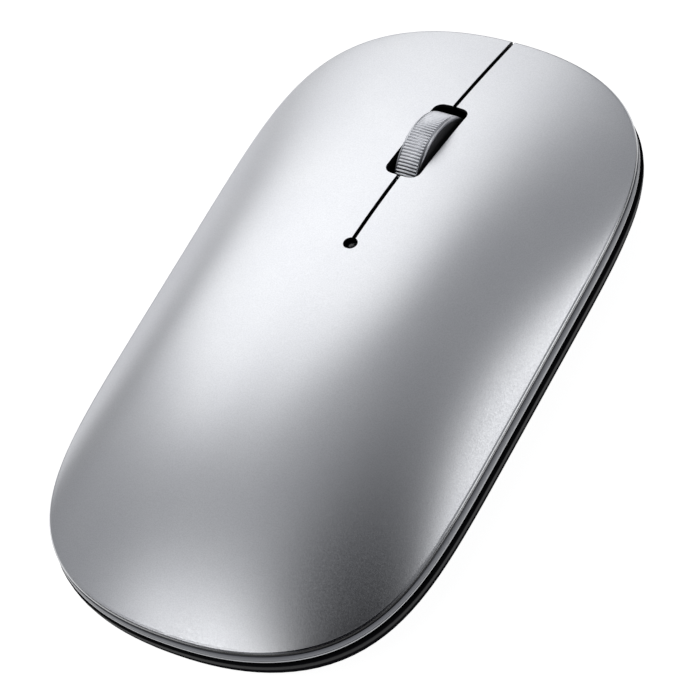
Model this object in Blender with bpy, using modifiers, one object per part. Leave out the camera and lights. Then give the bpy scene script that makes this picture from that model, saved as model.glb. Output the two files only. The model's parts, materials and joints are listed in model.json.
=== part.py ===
"""Slim wireless computer mouse, modelled as the separate pieces it is assembled from.

Frame: +Y points to the front (the wheel end), +X to the right, +Z up. The origin is on the
table under the middle of the mouse. Every dimension here is in millimetres; MM turns it into
metres when a mesh is made.
"""

import math

import bmesh
import bpy
import numpy
from mathutils import Vector

MM = 0.001

# Overall size
HALF_LENGTH = 55.0
HALF_WIDTH = 30.0
SIDE_POWER = 2.2          # exponent of x in the outline |x/a|^p + |y/b|^q = 1
END_POWER = 5.4           # exponent of y in the outline
OUTLINE_POINTS = 56
CLEARANCE = 0.3           # gap between pieces that touch
OVERLAP = 0.1             # how far the blocks of one piece run into each other

# Heights above the table
BASE_Z = 0.6              # flat underside of the lower case
WIDEST_Z = 7.5            # where the lower case is widest
BASE_TOP_Z = 8.1
BAND_Z = 8.8              # lower edge of the metal band
CREASE_Z = 10.6           # polished edge between band and dome

# Metal top
SHELL_WALL = 1.0
CREASE_INSET = 0.2
CROWN_RISE = 12.24        # rise of the dome above the crease, before its skew
CROWN_SKEW = 0.213        # moves the highest point towards the palm
ACROSS_POWER = 2.4        # shape of the dome's cross-section
ACROSS_ROUND = 0.9
FLEX_Y = 5.55             # line about which the front halves bend
SLIT_WIDTH = 0.5
HOLE_Y = 6.6
HOLE_RADIUS = 1.0
SLOT_REAR_Y = 21.1
SLOT_FRONT_Y = 37.3
SLOT_HALF_WIDTH = 2.7
SLOT_CORNER = 1.4

# Lower case
BASE_INSET = 0.0
BASE_WALL = 1.2
BASE_EDGE = 0.3           # chamfer of the rim
BOTTOM_INSET = 8.0
FLOOR_Z = BASE_Z + BASE_WALL
ROOT_Z = FLOOR_Z - 0.5    # walls and pillars start inside the floor
BAY_HALF_WIDTH = 11.8     # battery bay, to the middle of its walls
BAY_REAR = -43.6
BAY_FRONT = 4.1
BAY_WALL = 1.0
ROOF_REAR = -38.0
ROOF_FRONT = 1.0

# Scroll wheel
WHEEL_Y = 28.1
WHEEL_Z = 11.95
WHEEL_RADIUS = 8.9
TYRE_HALF_WIDTH = 2.05
TREAD_HALF_WIDTH = 1.6
TYRE_INNER = 7.6
AXLE_RADIUS = 0.9
PIVOT_Y = 38.4            # front pins about which the wheel's carriage rocks
PIVOT_Z = 9.5
POST_INNER = 6.6          # posts that hold the pins
POST_OUTER = 8.0

# Circuit board
BOARD_Z = 6.0
BOARD_THICK = 1.0
BOARD_TOP = BOARD_Z + BOARD_THICK
BOARD_HALF_WIDTH = 16.5
BOARD_REAR = 5.2
BOARD_FRONT = 47.0
SWITCH_X = 13.2
SWITCH_Y = 36.0
MIDDLE_Y = 15.0
SENSOR_Y = 10.0
UNDER_SWITCH_X = 12.0
UNDER_SWITCH_Y = 22.0

# Batteries: two AAA cells lying side by side under the palm
CELL_RADIUS = 5.25
CELL_REAR = -42.0
CELL_FRONT = 2.5
CELL_X = 5.6
CELL_Z = 7.15
DOOR_HALF_WIDTH = 10.7
DOOR_FRONT = 3.2
DOOR_TOP = 1.6

# Screws: (x, y)
FRONT_SCREW = (0.0, 43.0)
REAR_SCREWS = {"left": (-15.2, -32.0), "right": (15.2, -32.0)}
BOARD_SCREWS = {"left": (-13.0, 28.0), "right": (13.0, 28.0)}
PILLAR_RADIUS = 2.5
STANDOFF_RADIUS = 2.2
SHANK_HOLE_RADIUS = 1.3
THREAD_HOLE_RADIUS = 1.1
HEAD_RECESS_RADIUS = 2.2
HEAD_RECESS_TOP = 2.6

# Black frame under the edge of the metal top
FRAME_OUTER_INSET = 1.9
FRAME_INNER_INSET = 3.0
FRAME_LOW = 6.5
FRAME_TOP = 9.0


# ---------------------------------------------------------------- scene and materials

def clear_scene():
    for obj in list(bpy.data.objects):
        bpy.data.objects.remove(obj)


def make_collection(name):
    collection = bpy.data.collections.new(name)
    bpy.context.scene.collection.children.link(collection)
    return collection


def make_material(name, colour, roughness, metallic=0.0):
    material = bpy.data.materials.new(name)
    material.use_nodes = True
    shader = material.node_tree.nodes["Principled BSDF"]
    shader.inputs["Base Color"].default_value = (*colour, 1.0)
    shader.inputs["Roughness"].default_value = roughness
    shader.inputs["Metallic"].default_value = metallic
    material.diffuse_color = (*colour, 1.0)
    return material


def add_object(name, mesh, collection, material=None):
    obj = bpy.data.objects.new(name, mesh)
    collection.objects.link(obj)
    if material:
        mesh.materials.append(material)
    return obj


def mesh_from(name, work):
    """Turn a bmesh drawn in millimetres into a mesh in metres."""
    bmesh.ops.scale(work, vec=(MM, MM, MM), verts=work.verts)
    mesh = bpy.data.meshes.new(name)
    work.to_mesh(mesh)
    work.free()
    return mesh


# ---------------------------------------------------------------- outline and dome

def outline(inset, count=OUTLINE_POINTS):
    """Points of the plan outline, moved in by inset, evenly spaced along its length."""
    angles = numpy.linspace(0.0, 2.0 * math.pi, 2881)
    cosine = numpy.cos(angles)
    sine = numpy.sin(angles)
    x = (HALF_WIDTH - inset) * numpy.sign(cosine) * numpy.abs(cosine) ** (2.0 / SIDE_POWER)
    y = (HALF_LENGTH - inset) * numpy.sign(sine) * numpy.abs(sine) ** (2.0 / END_POWER)
    steps = numpy.hypot(numpy.diff(x), numpy.diff(y))
    travelled = numpy.concatenate([[0.0], numpy.cumsum(steps)])
    stops = numpy.linspace(0.0, travelled[-1], count + 1)[:-1]
    return list(zip(numpy.interp(stops, travelled, x), numpy.interp(stops, travelled, y)))


def half_width(y):
    """Half the width of the dome's edge at a distance y along the mouse."""
    reach = min(abs(y) / (HALF_LENGTH - CREASE_INSET), 1.0)
    return (HALF_WIDTH - CREASE_INSET) * (1.0 - reach ** END_POWER) ** (1.0 / SIDE_POWER)


def dome_height(x, y):
    """Height of the outside of the metal dome above the table."""
    along = y / (HALF_LENGTH - CREASE_INSET)
    crown = CROWN_RISE * max(1.0 - along * along, 0.0) * (1.0 - CROWN_SKEW * along)
    across = min(abs(x) / max(half_width(y), 1e-6), 1.0)
    return CREASE_Z + crown * (1.0 - across ** ACROSS_POWER) ** ACROSS_ROUND


def ring_at(inset, z):
    return [Vector((x, y, z)) for x, y in outline(inset)]


def dome_ring(scale):
    return [Vector((x * scale, y * scale, dome_height(x * scale, y * scale)))
            for x, y in outline(CREASE_INSET)]


def bridge(work, lower, upper):
    """Join two rings of vertices with a band of faces that point outwards."""
    count = len(lower)
    for i in range(count):
        j = (i + 1) % count
        work.faces.new((lower[i], lower[j], upper[j], upper[i]))


def loft(name, rings, cap_start=False, cap_end=False, apex=None, wrap=False):
    """A skin through rings that run upwards, with optional flat ends, peak or wrap."""
    work = bmesh.new()
    rows = [[work.verts.new(point) for point in ring] for ring in rings]
    for lower, upper in zip(rows, rows[1:]):
        bridge(work, lower, upper)
    if wrap:
        bridge(work, rows[-1], rows[0])
    if cap_start:
        work.faces.new(list(reversed(rows[0])))
    if cap_end:
        work.faces.new(rows[-1])
    if apex:
        tip = work.verts.new(apex)
        last = rows[-1]
        for i, vertex in enumerate(last):
            work.faces.new((vertex, last[(i + 1) % len(last)], tip))
    return mesh_from(name, work)


# ---------------------------------------------------------------- simple solids

def box_mesh(name, low, high):
    work = bmesh.new()
    bmesh.ops.create_cube(work, size=1.0)
    for vertex in work.verts:
        for axis in range(3):
            vertex.co[axis] = high[axis] if vertex.co[axis] > 0.0 else low[axis]
    return mesh_from(name, work)


def cylinder_mesh(name, radius, start, end, sides=24):
    """A cylinder between two points that differ along one axis."""
    start = Vector(start)
    end = Vector(end)
    work = bmesh.new()
    bmesh.ops.create_cone(work, cap_ends=True, segments=sides, radius1=radius,
                          radius2=radius, depth=(end - start).length)
    turn = Vector((0.0, 0.0, 1.0)).rotation_difference(end - start).to_matrix()
    bmesh.ops.rotate(work, verts=work.verts, cent=(0.0, 0.0, 0.0), matrix=turn)
    bmesh.ops.translate(work, verts=work.verts, vec=(start + end) / 2.0)
    return mesh_from(name, work)


def pill_mesh(name, low, high, corner, sides=6):
    """An upright block with rounded vertical corners."""
    work = bmesh.new()
    points = []
    centres = ((high[0] - corner, high[1] - corner), (low[0] + corner, high[1] - corner),
               (low[0] + corner, low[1] + corner), (high[0] - corner, low[1] + corner))
    for quarter, (x, y) in enumerate(centres):
        for step in range(sides + 1):
            angle = math.radians(90.0 * (quarter + step / sides))
            points.append((x + corner * math.cos(angle), y + corner * math.sin(angle)))
    bottom = [work.verts.new((x, y, low[2])) for x, y in points]
    top = [work.verts.new((x, y, high[2])) for x, y in points]
    bridge(work, bottom, top)
    work.faces.new(list(reversed(bottom)))
    work.faces.new(top)
    return mesh_from(name, work)


def turned(name, profile, centre, collection, material, steps=32, axis="Z"):
    """A turned solid: the closed profile holds (radius, distance along the axis) pairs."""
    mesh = bpy.data.meshes.new(name)
    points = [(radius * MM, 0.0, along * MM) for radius, along in profile]
    edges = [(i, i + 1) for i in range(len(points) - 1)]
    if profile[0][0] > 0.0:
        edges.append((len(points) - 1, 0))
    mesh.from_pydata(points, edges, [])
    obj = add_object(name, mesh, collection, material)
    screw = obj.modifiers.new("Turn", "SCREW")
    screw.axis = "Z"
    screw.steps = steps
    screw.render_steps = steps
    screw.use_merge_vertices = True
    screw.merge_threshold = 0.00001
    obj.location = Vector(centre) * MM
    if axis == "X":
        obj.rotation_euler = (0.0, math.radians(90.0), 0.0)
    if axis == "Y":
        obj.rotation_euler = (math.radians(-90.0), 0.0, 0.0)
    return obj


# ---------------------------------------------------------------- modifiers

def solidify(obj, thickness):
    wall = obj.modifiers.new("Wall", "SOLIDIFY")
    wall.thickness = thickness * MM
    wall.offset = -1.0
    wall.use_even_offset = True
    return obj


def bevel(obj, width):
    edge = obj.modifiers.new("Edge", "BEVEL")
    edge.width = width * MM
    edge.segments = 1
    edge.limit_method = "ANGLE"
    return obj


def combine(obj, tool, operation, solver="EXACT"):
    boolean = obj.modifiers.new(operation.title(), "BOOLEAN")
    boolean.operation = operation
    boolean.object = tool
    boolean.solver = solver
    return obj


def smooth(obj, degrees=40.0):
    obj.data.shade_smooth()
    obj.data.set_sharp_from_angle(angle=math.radians(degrees))
    return obj


class Kit:
    """The collections and materials that every piece is made with."""

    def __init__(self):
        self.parts = make_collection("computer_mouse")
        self.tools = make_collection("cutters")
        self.metal = make_material("blasted_metal", (0.62, 0.63, 0.65), 0.32, 1.0)
        self.steel = make_material("steel", (0.55, 0.56, 0.58), 0.25, 1.0)
        self.gold = make_material("contact_metal", (0.75, 0.68, 0.45), 0.3, 1.0)
        self.black = make_material("black_plastic", (0.02, 0.02, 0.022), 0.45)
        self.grey = make_material("grey_plastic", (0.12, 0.12, 0.13), 0.5)
        self.white = make_material("white_plastic", (0.8, 0.8, 0.78), 0.5)
        self.board = make_material("board_laminate", (0.02, 0.12, 0.05), 0.4)
        self.clear = make_material("clear_plastic", (0.75, 0.8, 0.85), 0.05)
        self.smoke = make_material("smoked_plastic", (0.03, 0.03, 0.035), 0.15)
        self.label = make_material("cell_wrap", (0.25, 0.28, 0.32), 0.35)
        self.glide = make_material("glide_plastic", (0.07, 0.07, 0.075), 0.3)

    def tool(self, name, mesh):
        obj = add_object(name, mesh, self.tools)
        obj.hide_render = True
        obj.display_type = "WIRE"
        return obj

    def cutter_box(self, name, low, high):
        return self.tool(name, box_mesh(name, low, high))

    def cutter_rod(self, name, radius, start, end, sides=24):
        return self.tool(name, cylinder_mesh(name, radius, start, end, sides))

    def box(self, name, low, high, material, edge=0.15):
        obj = add_object(name, box_mesh(name, low, high), self.parts, material)
        return bevel(obj, edge) if edge else obj

    def rod(self, name, radius, start, end, material, sides=24):
        obj = add_object(name, cylinder_mesh(name, radius, start, end, sides), self.parts, material)
        return smooth(obj)

    def turned(self, name, profile, centre, material, steps=32, axis="Z"):
        return turned(name, profile, centre, self.parts, material, steps, axis)


# ---------------------------------------------------------------- metal top

DOME_SCALES = (0.975, 0.94, 0.89, 0.82, 0.72, 0.59, 0.43, 0.24)


def metal_skin(kit, name):
    """The whole metal top: band, polished edge and dome, one wall thick."""
    rings = [ring_at(0.0, BAND_Z), ring_at(0.0, CREASE_Z - 0.3), ring_at(CREASE_INSET, CREASE_Z)]
    rings += [dome_ring(scale) for scale in DOME_SCALES]
    mesh = loft(name, rings, apex=(0.0, 0.0, dome_height(0.0, 0.0)))
    obj = add_object(name, mesh, kit.parts, kit.metal)
    return solidify(smooth(obj), SHELL_WALL)


def build_metal_top(kit):
    reach = HALF_LENGTH + 5.0
    half_gap = CLEARANCE / 2.0
    slot = kit.tool("wheel_slot_cutter", pill_mesh(
        "wheel_slot_cutter", (-SLOT_HALF_WIDTH, SLOT_REAR_Y, 5.0),
        (SLOT_HALF_WIDTH, SLOT_FRONT_Y, 30.0), SLOT_CORNER))
    hole = kit.cutter_rod("relief_hole_cutter", HOLE_RADIUS, (0.0, HOLE_Y, 5.0), (0.0, HOLE_Y, 30.0))
    front = kit.cutter_box("front_half_cutter", (-40.0, FLEX_Y - half_gap, 0.0), (40.0, reach, 40.0))
    rear = kit.cutter_box("rear_half_cutter", (-40.0, -reach, 0.0), (40.0, FLEX_Y + half_gap, 40.0))
    combine(metal_skin(kit, "palm_shell"), front, "DIFFERENCE")
    for name, side in (("left_button", -1.0), ("right_button", 1.0)):
        edges = sorted((side * SLIT_WIDTH / 2.0, side * -40.0))
        other = kit.cutter_box(name + "_other_side", (edges[0], -reach, 0.0), (edges[1], reach, 40.0))
        key = metal_skin(kit, name)
        for tool in (rear, other, slot, hole):
            combine(key, tool, "DIFFERENCE", "MANIFOLD")


def build_key_plates(kit):
    """Plastic carrier under each metal key, with the post that presses its switch."""
    inner, outer, rear, front = 4.8, 20.0, 9.0, 43.0
    drop = SHELL_WALL + 0.45
    columns, rows = 6, 9
    for name, side in (("left_key_plate", -1.0), ("right_key_plate", 1.0)):
        work = bmesh.new()
        grid = []
        for i in range(columns + 1):
            x = side * (inner + (outer - inner) * i / columns)
            ys = [rear + (front - rear) * j / rows for j in range(rows + 1)]
            grid.append([work.verts.new((x, y, dome_height(x, y) - drop)) for y in ys])
        for i in range(columns):
            for j in range(rows):
                corners = [grid[i][j], grid[i + 1][j], grid[i + 1][j + 1], grid[i][j + 1]]
                work.faces.new(corners if side > 0.0 else reversed(corners))
        plate = add_object(name, mesh_from(name, work), kit.parts, kit.black)
        solidify(smooth(plate), 1.0)
        x = side * SWITCH_X
        post = kit.cutter_box(name + "_post", (x - 1.2, SWITCH_Y - 1.2, 11.6),
                              (x + 1.2, SWITCH_Y + 1.2, dome_height(x, SWITCH_Y) - drop - 0.6))
        combine(plate, post, "UNION")


# ---------------------------------------------------------------- lower case

def bowl_rings(steps=5):
    """Rings of the lower case's outside, from its flat underside up to its rim."""
    rings = []
    for step in range(steps, 0, -1):
        angle = math.radians(90.0 * step / steps)
        inset = BASE_INSET + (BOTTOM_INSET - BASE_INSET) * (1.0 - math.cos(angle))
        rings.append(ring_at(inset, WIDEST_Z - (WIDEST_Z - BASE_Z) * math.sin(angle)))
    rings.append(ring_at(BASE_INSET, WIDEST_Z))
    rings.append(ring_at(BASE_INSET, BASE_TOP_Z - BASE_EDGE))
    rings.append(ring_at(BASE_INSET + BASE_EDGE, BASE_TOP_Z))
    return rings


def add_pillar(kit, base, name, x, y, radius, top):
    pillar = kit.cutter_rod(name, radius, (x, y, ROOT_Z), (x, y, top), 20)
    combine(base, pillar, "UNION")


def add_battery_bay(kit, base):
    """Two side walls, two end walls and a roof that the cells rest against."""
    half = BAY_WALL / 2.0
    top = CELL_Z + CELL_RADIUS + CLEARANCE
    for name, side in (("bay_wall_left", -1.0), ("bay_wall_right", 1.0)):
        xs = sorted((side * (BAY_HALF_WIDTH - half), side * (BAY_HALF_WIDTH + half)))
        wall = kit.cutter_box(name, (xs[0], BAY_REAR - half, ROOT_Z), (xs[1], BAY_FRONT + half, top))
        combine(base, wall, "UNION")
    for name, y in (("bay_wall_rear", BAY_REAR), ("bay_wall_front", BAY_FRONT)):
        wall = kit.cutter_box(name, (-BAY_HALF_WIDTH, y - half, ROOT_Z),
                              (BAY_HALF_WIDTH, y + half, top - OVERLAP))
        combine(base, wall, "UNION")
    reach = BAY_HALF_WIDTH + half - OVERLAP
    roof = kit.cutter_box("bay_roof", (-reach, ROOF_REAR, top - OVERLAP / 2.0),
                          (reach, ROOF_FRONT, top + BAY_WALL))
    combine(base, roof, "UNION")


def build_base_case(kit):
    base = add_object("base_case", loft("base_case", bowl_rings(), cap_start=True),
                      kit.parts, kit.black)
    solidify(smooth(base), BASE_WALL)

    add_battery_bay(kit, base)

    # Posts that hold the wheel carriage's front pins.
    for name, side in (("pivot_post_left", -1.0), ("pivot_post_right", 1.0)):
        xs = sorted((side * POST_INNER, side * POST_OUTER))
        post = kit.cutter_box(name, (xs[0], PIVOT_Y - 1.9, ROOT_Z),
                              (xs[1], PIVOT_Y + 1.9, PIVOT_Z + 2.2))
        combine(base, post, "UNION")
    pin_hole = kit.cutter_rod("pivot_hole", AXLE_RADIUS + CLEARANCE,
                              (-9.0, PIVOT_Y, PIVOT_Z), (9.0, PIVOT_Y, PIVOT_Z), 16)
    combine(base, pin_hole, "DIFFERENCE")

    # Screw pillars, with a counterbore in the underside and a clear hole above it.
    screws = {"front": FRONT_SCREW, **REAR_SCREWS}
    for name, (x, y) in screws.items():
        add_pillar(kit, base, f"pillar_{name}", x, y, PILLAR_RADIUS, FRAME_LOW - CLEARANCE)
    for name, (x, y) in BOARD_SCREWS.items():
        add_pillar(kit, base, f"standoff_{name}", x, y, STANDOFF_RADIUS, BOARD_Z - CLEARANCE)
    for name, (x, y) in screws.items():
        shank = kit.cutter_rod(f"shank_{name}", SHANK_HOLE_RADIUS, (x, y, 0.0), (x, y, FRAME_TOP), 16)
        combine(base, shank, "DIFFERENCE")
        head = kit.cutter_rod(f"counterbore_{name}", HEAD_RECESS_RADIUS, (x, y, 0.0),
                              (x, y, HEAD_RECESS_TOP), 20)
        combine(base, head, "DIFFERENCE")
    for name, (x, y) in BOARD_SCREWS.items():
        thread = kit.cutter_rod(f"thread_{name}", THREAD_HOLE_RADIUS, (x, y, HEAD_RECESS_TOP),
                                (x, y, FRAME_TOP), 16)
        combine(base, thread, "DIFFERENCE")

    # Openings in the floor.
    doorway = kit.cutter_box("doorway", (-DOOR_HALF_WIDTH - CLEARANCE, -60.0, 0.0),
                             (DOOR_HALF_WIDTH + CLEARANCE, DOOR_FRONT + CLEARANCE,
                              DOOR_TOP + CLEARANCE))
    combine(base, doorway, "DIFFERENCE")
    window = kit.cutter_rod("sensor_window", 2.8, (0.0, SENSOR_Y, 0.0), (0.0, SENSOR_Y, 3.0))
    combine(base, window, "DIFFERENCE")
    slide_slot = kit.tool("slide_slot", pill_mesh(
        "slide_slot", (-UNDER_SWITCH_X - 1.4, UNDER_SWITCH_Y - 2.8, 0.0),
        (-UNDER_SWITCH_X + 1.4, UNDER_SWITCH_Y + 2.8, 3.0), 0.6, 3))
    combine(base, slide_slot, "DIFFERENCE")
    push_hole = kit.cutter_rod("push_hole", 2.3, (UNDER_SWITCH_X, UNDER_SWITCH_Y, 0.0),
                               (UNDER_SWITCH_X, UNDER_SWITCH_Y, 3.0))
    combine(base, push_hole, "DIFFERENCE")
    for name, low, high in foot_boxes():
        recess = kit.tool(f"{name}_recess", pill_mesh(
            f"{name}_recess", (low[0] - CLEARANCE, low[1] - CLEARANCE, 0.0),
            (high[0] + CLEARANCE, high[1] + CLEARANCE, high[2] + CLEARANCE), 1.8, 4))
        combine(base, recess, "DIFFERENCE")


def build_inner_frame(kit):
    """Black frame that the metal top is bonded to, with lugs for the case screws."""
    rings = [ring_at(FRAME_OUTER_INSET, FRAME_LOW), ring_at(FRAME_OUTER_INSET, FRAME_TOP),
             ring_at(FRAME_INNER_INSET, FRAME_TOP), ring_at(FRAME_INNER_INSET, FRAME_LOW)]
    frame = add_object("inner_frame", loft("inner_frame", rings, wrap=True), kit.parts, kit.black)
    smooth(frame)
    front_x, front_y = FRONT_SCREW
    low, top = FRAME_LOW + 0.9, FRAME_TOP - OVERLAP
    front_end = HALF_LENGTH - 2.5
    side_end = HALF_WIDTH - 3.4
    lugs = {"front": ((front_x - 1.6, front_y, low), (front_x + 1.6, front_end, top))}
    for name, (x, y) in REAR_SCREWS.items():
        xs = sorted((x, math.copysign(side_end, x)))
        lugs[name] = ((xs[0], y - 1.3, low), (xs[1], y + 1.3, top))
    for name, (low, high) in lugs.items():
        combine(frame, kit.cutter_box(f"lug_{name}", low, high), "UNION")
    for name, (x, y) in {"front": FRONT_SCREW, **REAR_SCREWS}.items():
        boss = kit.cutter_rod(f"boss_{name}", 2.2, (x, y, FRAME_LOW), (x, y, FRAME_TOP), 20)
        combine(frame, boss, "UNION")
        hole = kit.cutter_rod(f"boss_hole_{name}", SHANK_HOLE_RADIUS, (x, y, 0.0), (x, y, 12.0), 16)
        combine(frame, hole, "DIFFERENCE")


def build_battery_door(kit):
    """Flat door whose rounded tail completes the underside of the case."""
    door = add_object("battery_door", loft("battery_door", bowl_rings(), cap_start=True, cap_end=True),
                      kit.parts, kit.black)
    keep = kit.cutter_box("door_keep", (-DOOR_HALF_WIDTH, -60.0, 0.0),
                          (DOOR_HALF_WIDTH, DOOR_FRONT, DOOR_TOP))
    combine(door, keep, "INTERSECT")
    for step in range(3):
        y = -38.0 - 2.0 * step
        groove = kit.cutter_box(f"grip_groove_{step}", (-6.0, y - 0.4, 0.0), (6.0, y + 0.4, BASE_Z + 0.35))
        combine(door, groove, "DIFFERENCE")


def foot_boxes():
    thick = 0.75
    near, far = 13.2, 17.2
    rear, front = -38.0, -26.0
    return (
        ("foot_front", (-9.0, 41.0, 0.0), (9.0, 45.0, thick)),
        ("foot_left", (-far, rear, 0.0), (-near, front, thick)),
        ("foot_right", (near, rear, 0.0), (far, front, thick)),
    )


def build_feet(kit):
    for name, low, high in foot_boxes():
        foot = add_object(name, pill_mesh(name, low, high, 1.5, 4), kit.parts, kit.glide)
        smooth(foot)


def build_screws(kit):
    """Cross-recess screws, each turned with a pan head."""
    case = {"case_screw_front": FRONT_SCREW, "case_screw_left": REAR_SCREWS["left"],
            "case_screw_right": REAR_SCREWS["right"]}
    upwards = [(0.0, 8.4), (0.9, 8.0), (0.9, 2.3), (1.85, 2.3), (1.85, 1.6), (1.5, 1.25), (0.0, 1.2)]
    for name, (x, y) in case.items():
        kit.turned(name, upwards, (x, y, 0.0), kit.steel, 20)
    head = BOARD_TOP + CLEARANCE
    downwards = [(0.0, head + 1.0), (1.4, head + 0.9), (1.8, head + 0.4), (1.8, head), (0.8, head),
                 (0.8, 3.2), (0.0, 2.9)]
    for side, (x, y) in BOARD_SCREWS.items():
        kit.turned(f"board_screw_{side}", downwards, (x, y, 0.0), kit.steel, 20)


# ---------------------------------------------------------------- scroll wheel

def build_wheel(kit):
    centre = (0.0, WHEEL_Y, WHEEL_Z)
    shoulder = WHEEL_RADIUS - 0.45
    tyre = [(TYRE_INNER, TYRE_HALF_WIDTH), (shoulder, TYRE_HALF_WIDTH),
            (WHEEL_RADIUS, TREAD_HALF_WIDTH), (WHEEL_RADIUS, -TREAD_HALF_WIDTH),
            (shoulder, -TYRE_HALF_WIDTH), (TYRE_INNER, -TYRE_HALF_WIDTH)]
    kit.turned("wheel_tyre", tyre, centre, kit.metal, 56, "X")
    bore = AXLE_RADIUS + CLEARANCE
    rim = TYRE_INNER - CLEARANCE
    hub = [(bore, 3.1), (2.2, 3.1), (2.4, 1.0), (rim - 1.2, 1.0), (rim - 1.0, 1.8), (rim, 1.8),
           (rim, -1.8), (rim - 1.0, -1.8), (rim - 1.2, -1.0), (2.4, -1.0), (2.2, -3.1), (bore, -3.1)]
    kit.turned("wheel_hub", hub, centre, kit.grey, 40, "X")
    kit.rod("wheel_axle", AXLE_RADIUS, (-8.0, WHEEL_Y, WHEEL_Z), (5.8, WHEEL_Y, WHEEL_Z), kit.steel, 16)


def build_wheel_carriage(kit):
    """Open frame round the wheel that rocks on two front pins and presses the middle switch."""
    arm_inner, arm_outer = 3.6, 4.8
    low, high = 8.6, 13.2
    rear_low = 11.0
    carriage = kit.box("wheel_carriage", (-arm_outer, PIVOT_Y - 0.9, low),
                       (arm_outer, PIVOT_Y + 0.9, low + 1.9), kit.grey, 0.0)
    for name, side in (("carriage_arm_left", -1.0), ("carriage_arm_right", 1.0)):
        xs = sorted((side * arm_inner, side * arm_outer))
        arm = kit.cutter_box(name, (xs[0], MIDDLE_Y - 0.8, rear_low), (xs[1], WHEEL_Y + 4.0, high))
        combine(carriage, arm, "UNION")
        leg = kit.cutter_box(name + "_front", (xs[0], WHEEL_Y - 3.0, low + 0.05),
                             (xs[1], PIVOT_Y + 0.8, rear_low + 1.0))
        combine(carriage, leg, "UNION")
    beam = kit.cutter_box("carriage_beam", (-arm_outer + 0.1, MIDDLE_Y - 0.75, rear_low + 0.05),
                          (arm_outer - 0.1, MIDDLE_Y + 0.75, high - 0.05))
    combine(carriage, beam, "UNION")
    pin_end = POST_OUTER - 0.2
    pins = kit.cutter_rod("carriage_pins", AXLE_RADIUS, (-pin_end, PIVOT_Y, PIVOT_Z),
                          (pin_end, PIVOT_Y, PIVOT_Z), 16)
    combine(carriage, pins, "UNION")
    bore = kit.cutter_rod("carriage_bore", AXLE_RADIUS + CLEARANCE, (-6.0, WHEEL_Y, WHEEL_Z),
                          (6.0, WHEEL_Y, WHEEL_Z), 16)
    combine(carriage, bore, "DIFFERENCE")
    encoder = kit.box("wheel_encoder", (-9.3, WHEEL_Y - 3.2, 7.6), (-5.1, WHEEL_Y + 3.2, 14.6), kit.black)
    socket = kit.cutter_rod("encoder_socket", AXLE_RADIUS + CLEARANCE, (-8.4, WHEEL_Y, WHEEL_Z),
                            (-4.0, WHEEL_Y, WHEEL_Z), 16)
    combine(encoder, socket, "DIFFERENCE")


# ---------------------------------------------------------------- electronics

def build_switch(kit, name, centre, size, top, plunger_radius, plunger_top):
    """A click switch on the board, and its separate plunger."""
    x, y = centre
    low = BOARD_TOP + CLEARANCE
    body = kit.box(f"{name}_switch", (x - size[0] / 2.0, y - size[1] / 2.0, low),
                   (x + size[0] / 2.0, y + size[1] / 2.0, top), kit.black)
    well = kit.cutter_rod(f"{name}_well", plunger_radius + CLEARANCE, (x, y, low + 0.6), (x, y, 20.0), 16)
    combine(body, well, "DIFFERENCE")
    kit.rod(f"{name}_plunger", plunger_radius, (x, y, top - 1.2), (x, y, plunger_top), kit.white, 16)


def build_main_board(kit):
    blank = pill_mesh("main_board", (-BOARD_HALF_WIDTH, BOARD_REAR, BOARD_Z),
                      (BOARD_HALF_WIDTH, BOARD_FRONT, BOARD_TOP), 3.0, 4)
    board = add_object("main_board", blank, kit.parts, kit.board)
    wheel_gap = kit.cutter_box("board_wheel_gap", (-10.4, 19.6, 0.0), (8.6, 40.4, 20.0))
    combine(board, wheel_gap, "DIFFERENCE")
    pillar_gap = kit.cutter_rod("board_pillar_gap", 2.9, (*FRONT_SCREW, 0.0), (*FRONT_SCREW, 20.0))
    combine(board, pillar_gap, "DIFFERENCE")
    for name, (x, y) in BOARD_SCREWS.items():
        hole = kit.cutter_rod(f"board_hole_{name}", THREAD_HOLE_RADIUS, (x, y, 0.0), (x, y, 20.0), 16)
        combine(board, hole, "DIFFERENCE")


def build_board_parts(kit):
    top = BOARD_TOP + CLEARANCE
    under = BOARD_Z - CLEARANCE
    build_switch(kit, "left", (-SWITCH_X, SWITCH_Y), (5.2, 10.0), 10.6, 0.8, 11.3)
    build_switch(kit, "right", (SWITCH_X, SWITCH_Y), (5.2, 10.0), 10.6, 0.8, 11.3)
    build_switch(kit, "middle", (0.0, MIDDLE_Y), (6.0, 6.0), 10.0, 1.2, 10.7)
    kit.box("controller_chip", (6.0, 8.0, top), (12.0, 14.0, top + 0.9), kit.black)
    kit.box("crystal", (-12.0, 8.0, top), (-7.5, 9.8, top + 0.8), kit.steel)
    kit.rod("capacitor", 2.0, (-10.0, 15.0, top), (-10.0, 15.0, top + 3.6), kit.label, 20)
    kit.box("status_led", (-0.8, 6.2, top), (0.8, 7.6, top + 0.7), kit.white, 0.1)
    pipe_top = dome_height(0.0, HOLE_Y) - 0.6
    pipe = [(0.0, pipe_top), (0.7, pipe_top - 0.1), (0.7, top + 2.2), (1.0, top + 2.0), (1.0, top + 1.0),
            (0.0, top + 1.0)]
    kit.turned("light_pipe", pipe, (0.0, HOLE_Y, 0.0), kit.smoke, 20)

    kit.box("optical_sensor", (-3.6, SENSOR_Y - 4.2, 4.1), (3.6, SENSOR_Y + 4.2, under), kit.black)
    kit.box("sensor_led", (4.4, SENSOR_Y - 1.4, 3.4), (7.2, SENSOR_Y + 1.4, under), kit.clear)
    lens = kit.box("sensor_lens", (-4.0, SENSOR_Y - 4.4, 2.2), (4.0, SENSOR_Y + 4.4, 3.8), kit.clear)
    barrel = kit.cutter_rod("lens_barrel", 2.3, (0.0, SENSOR_Y, 1.2), (0.0, SENSOR_Y, 3.0))
    combine(lens, barrel, "UNION")


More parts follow.
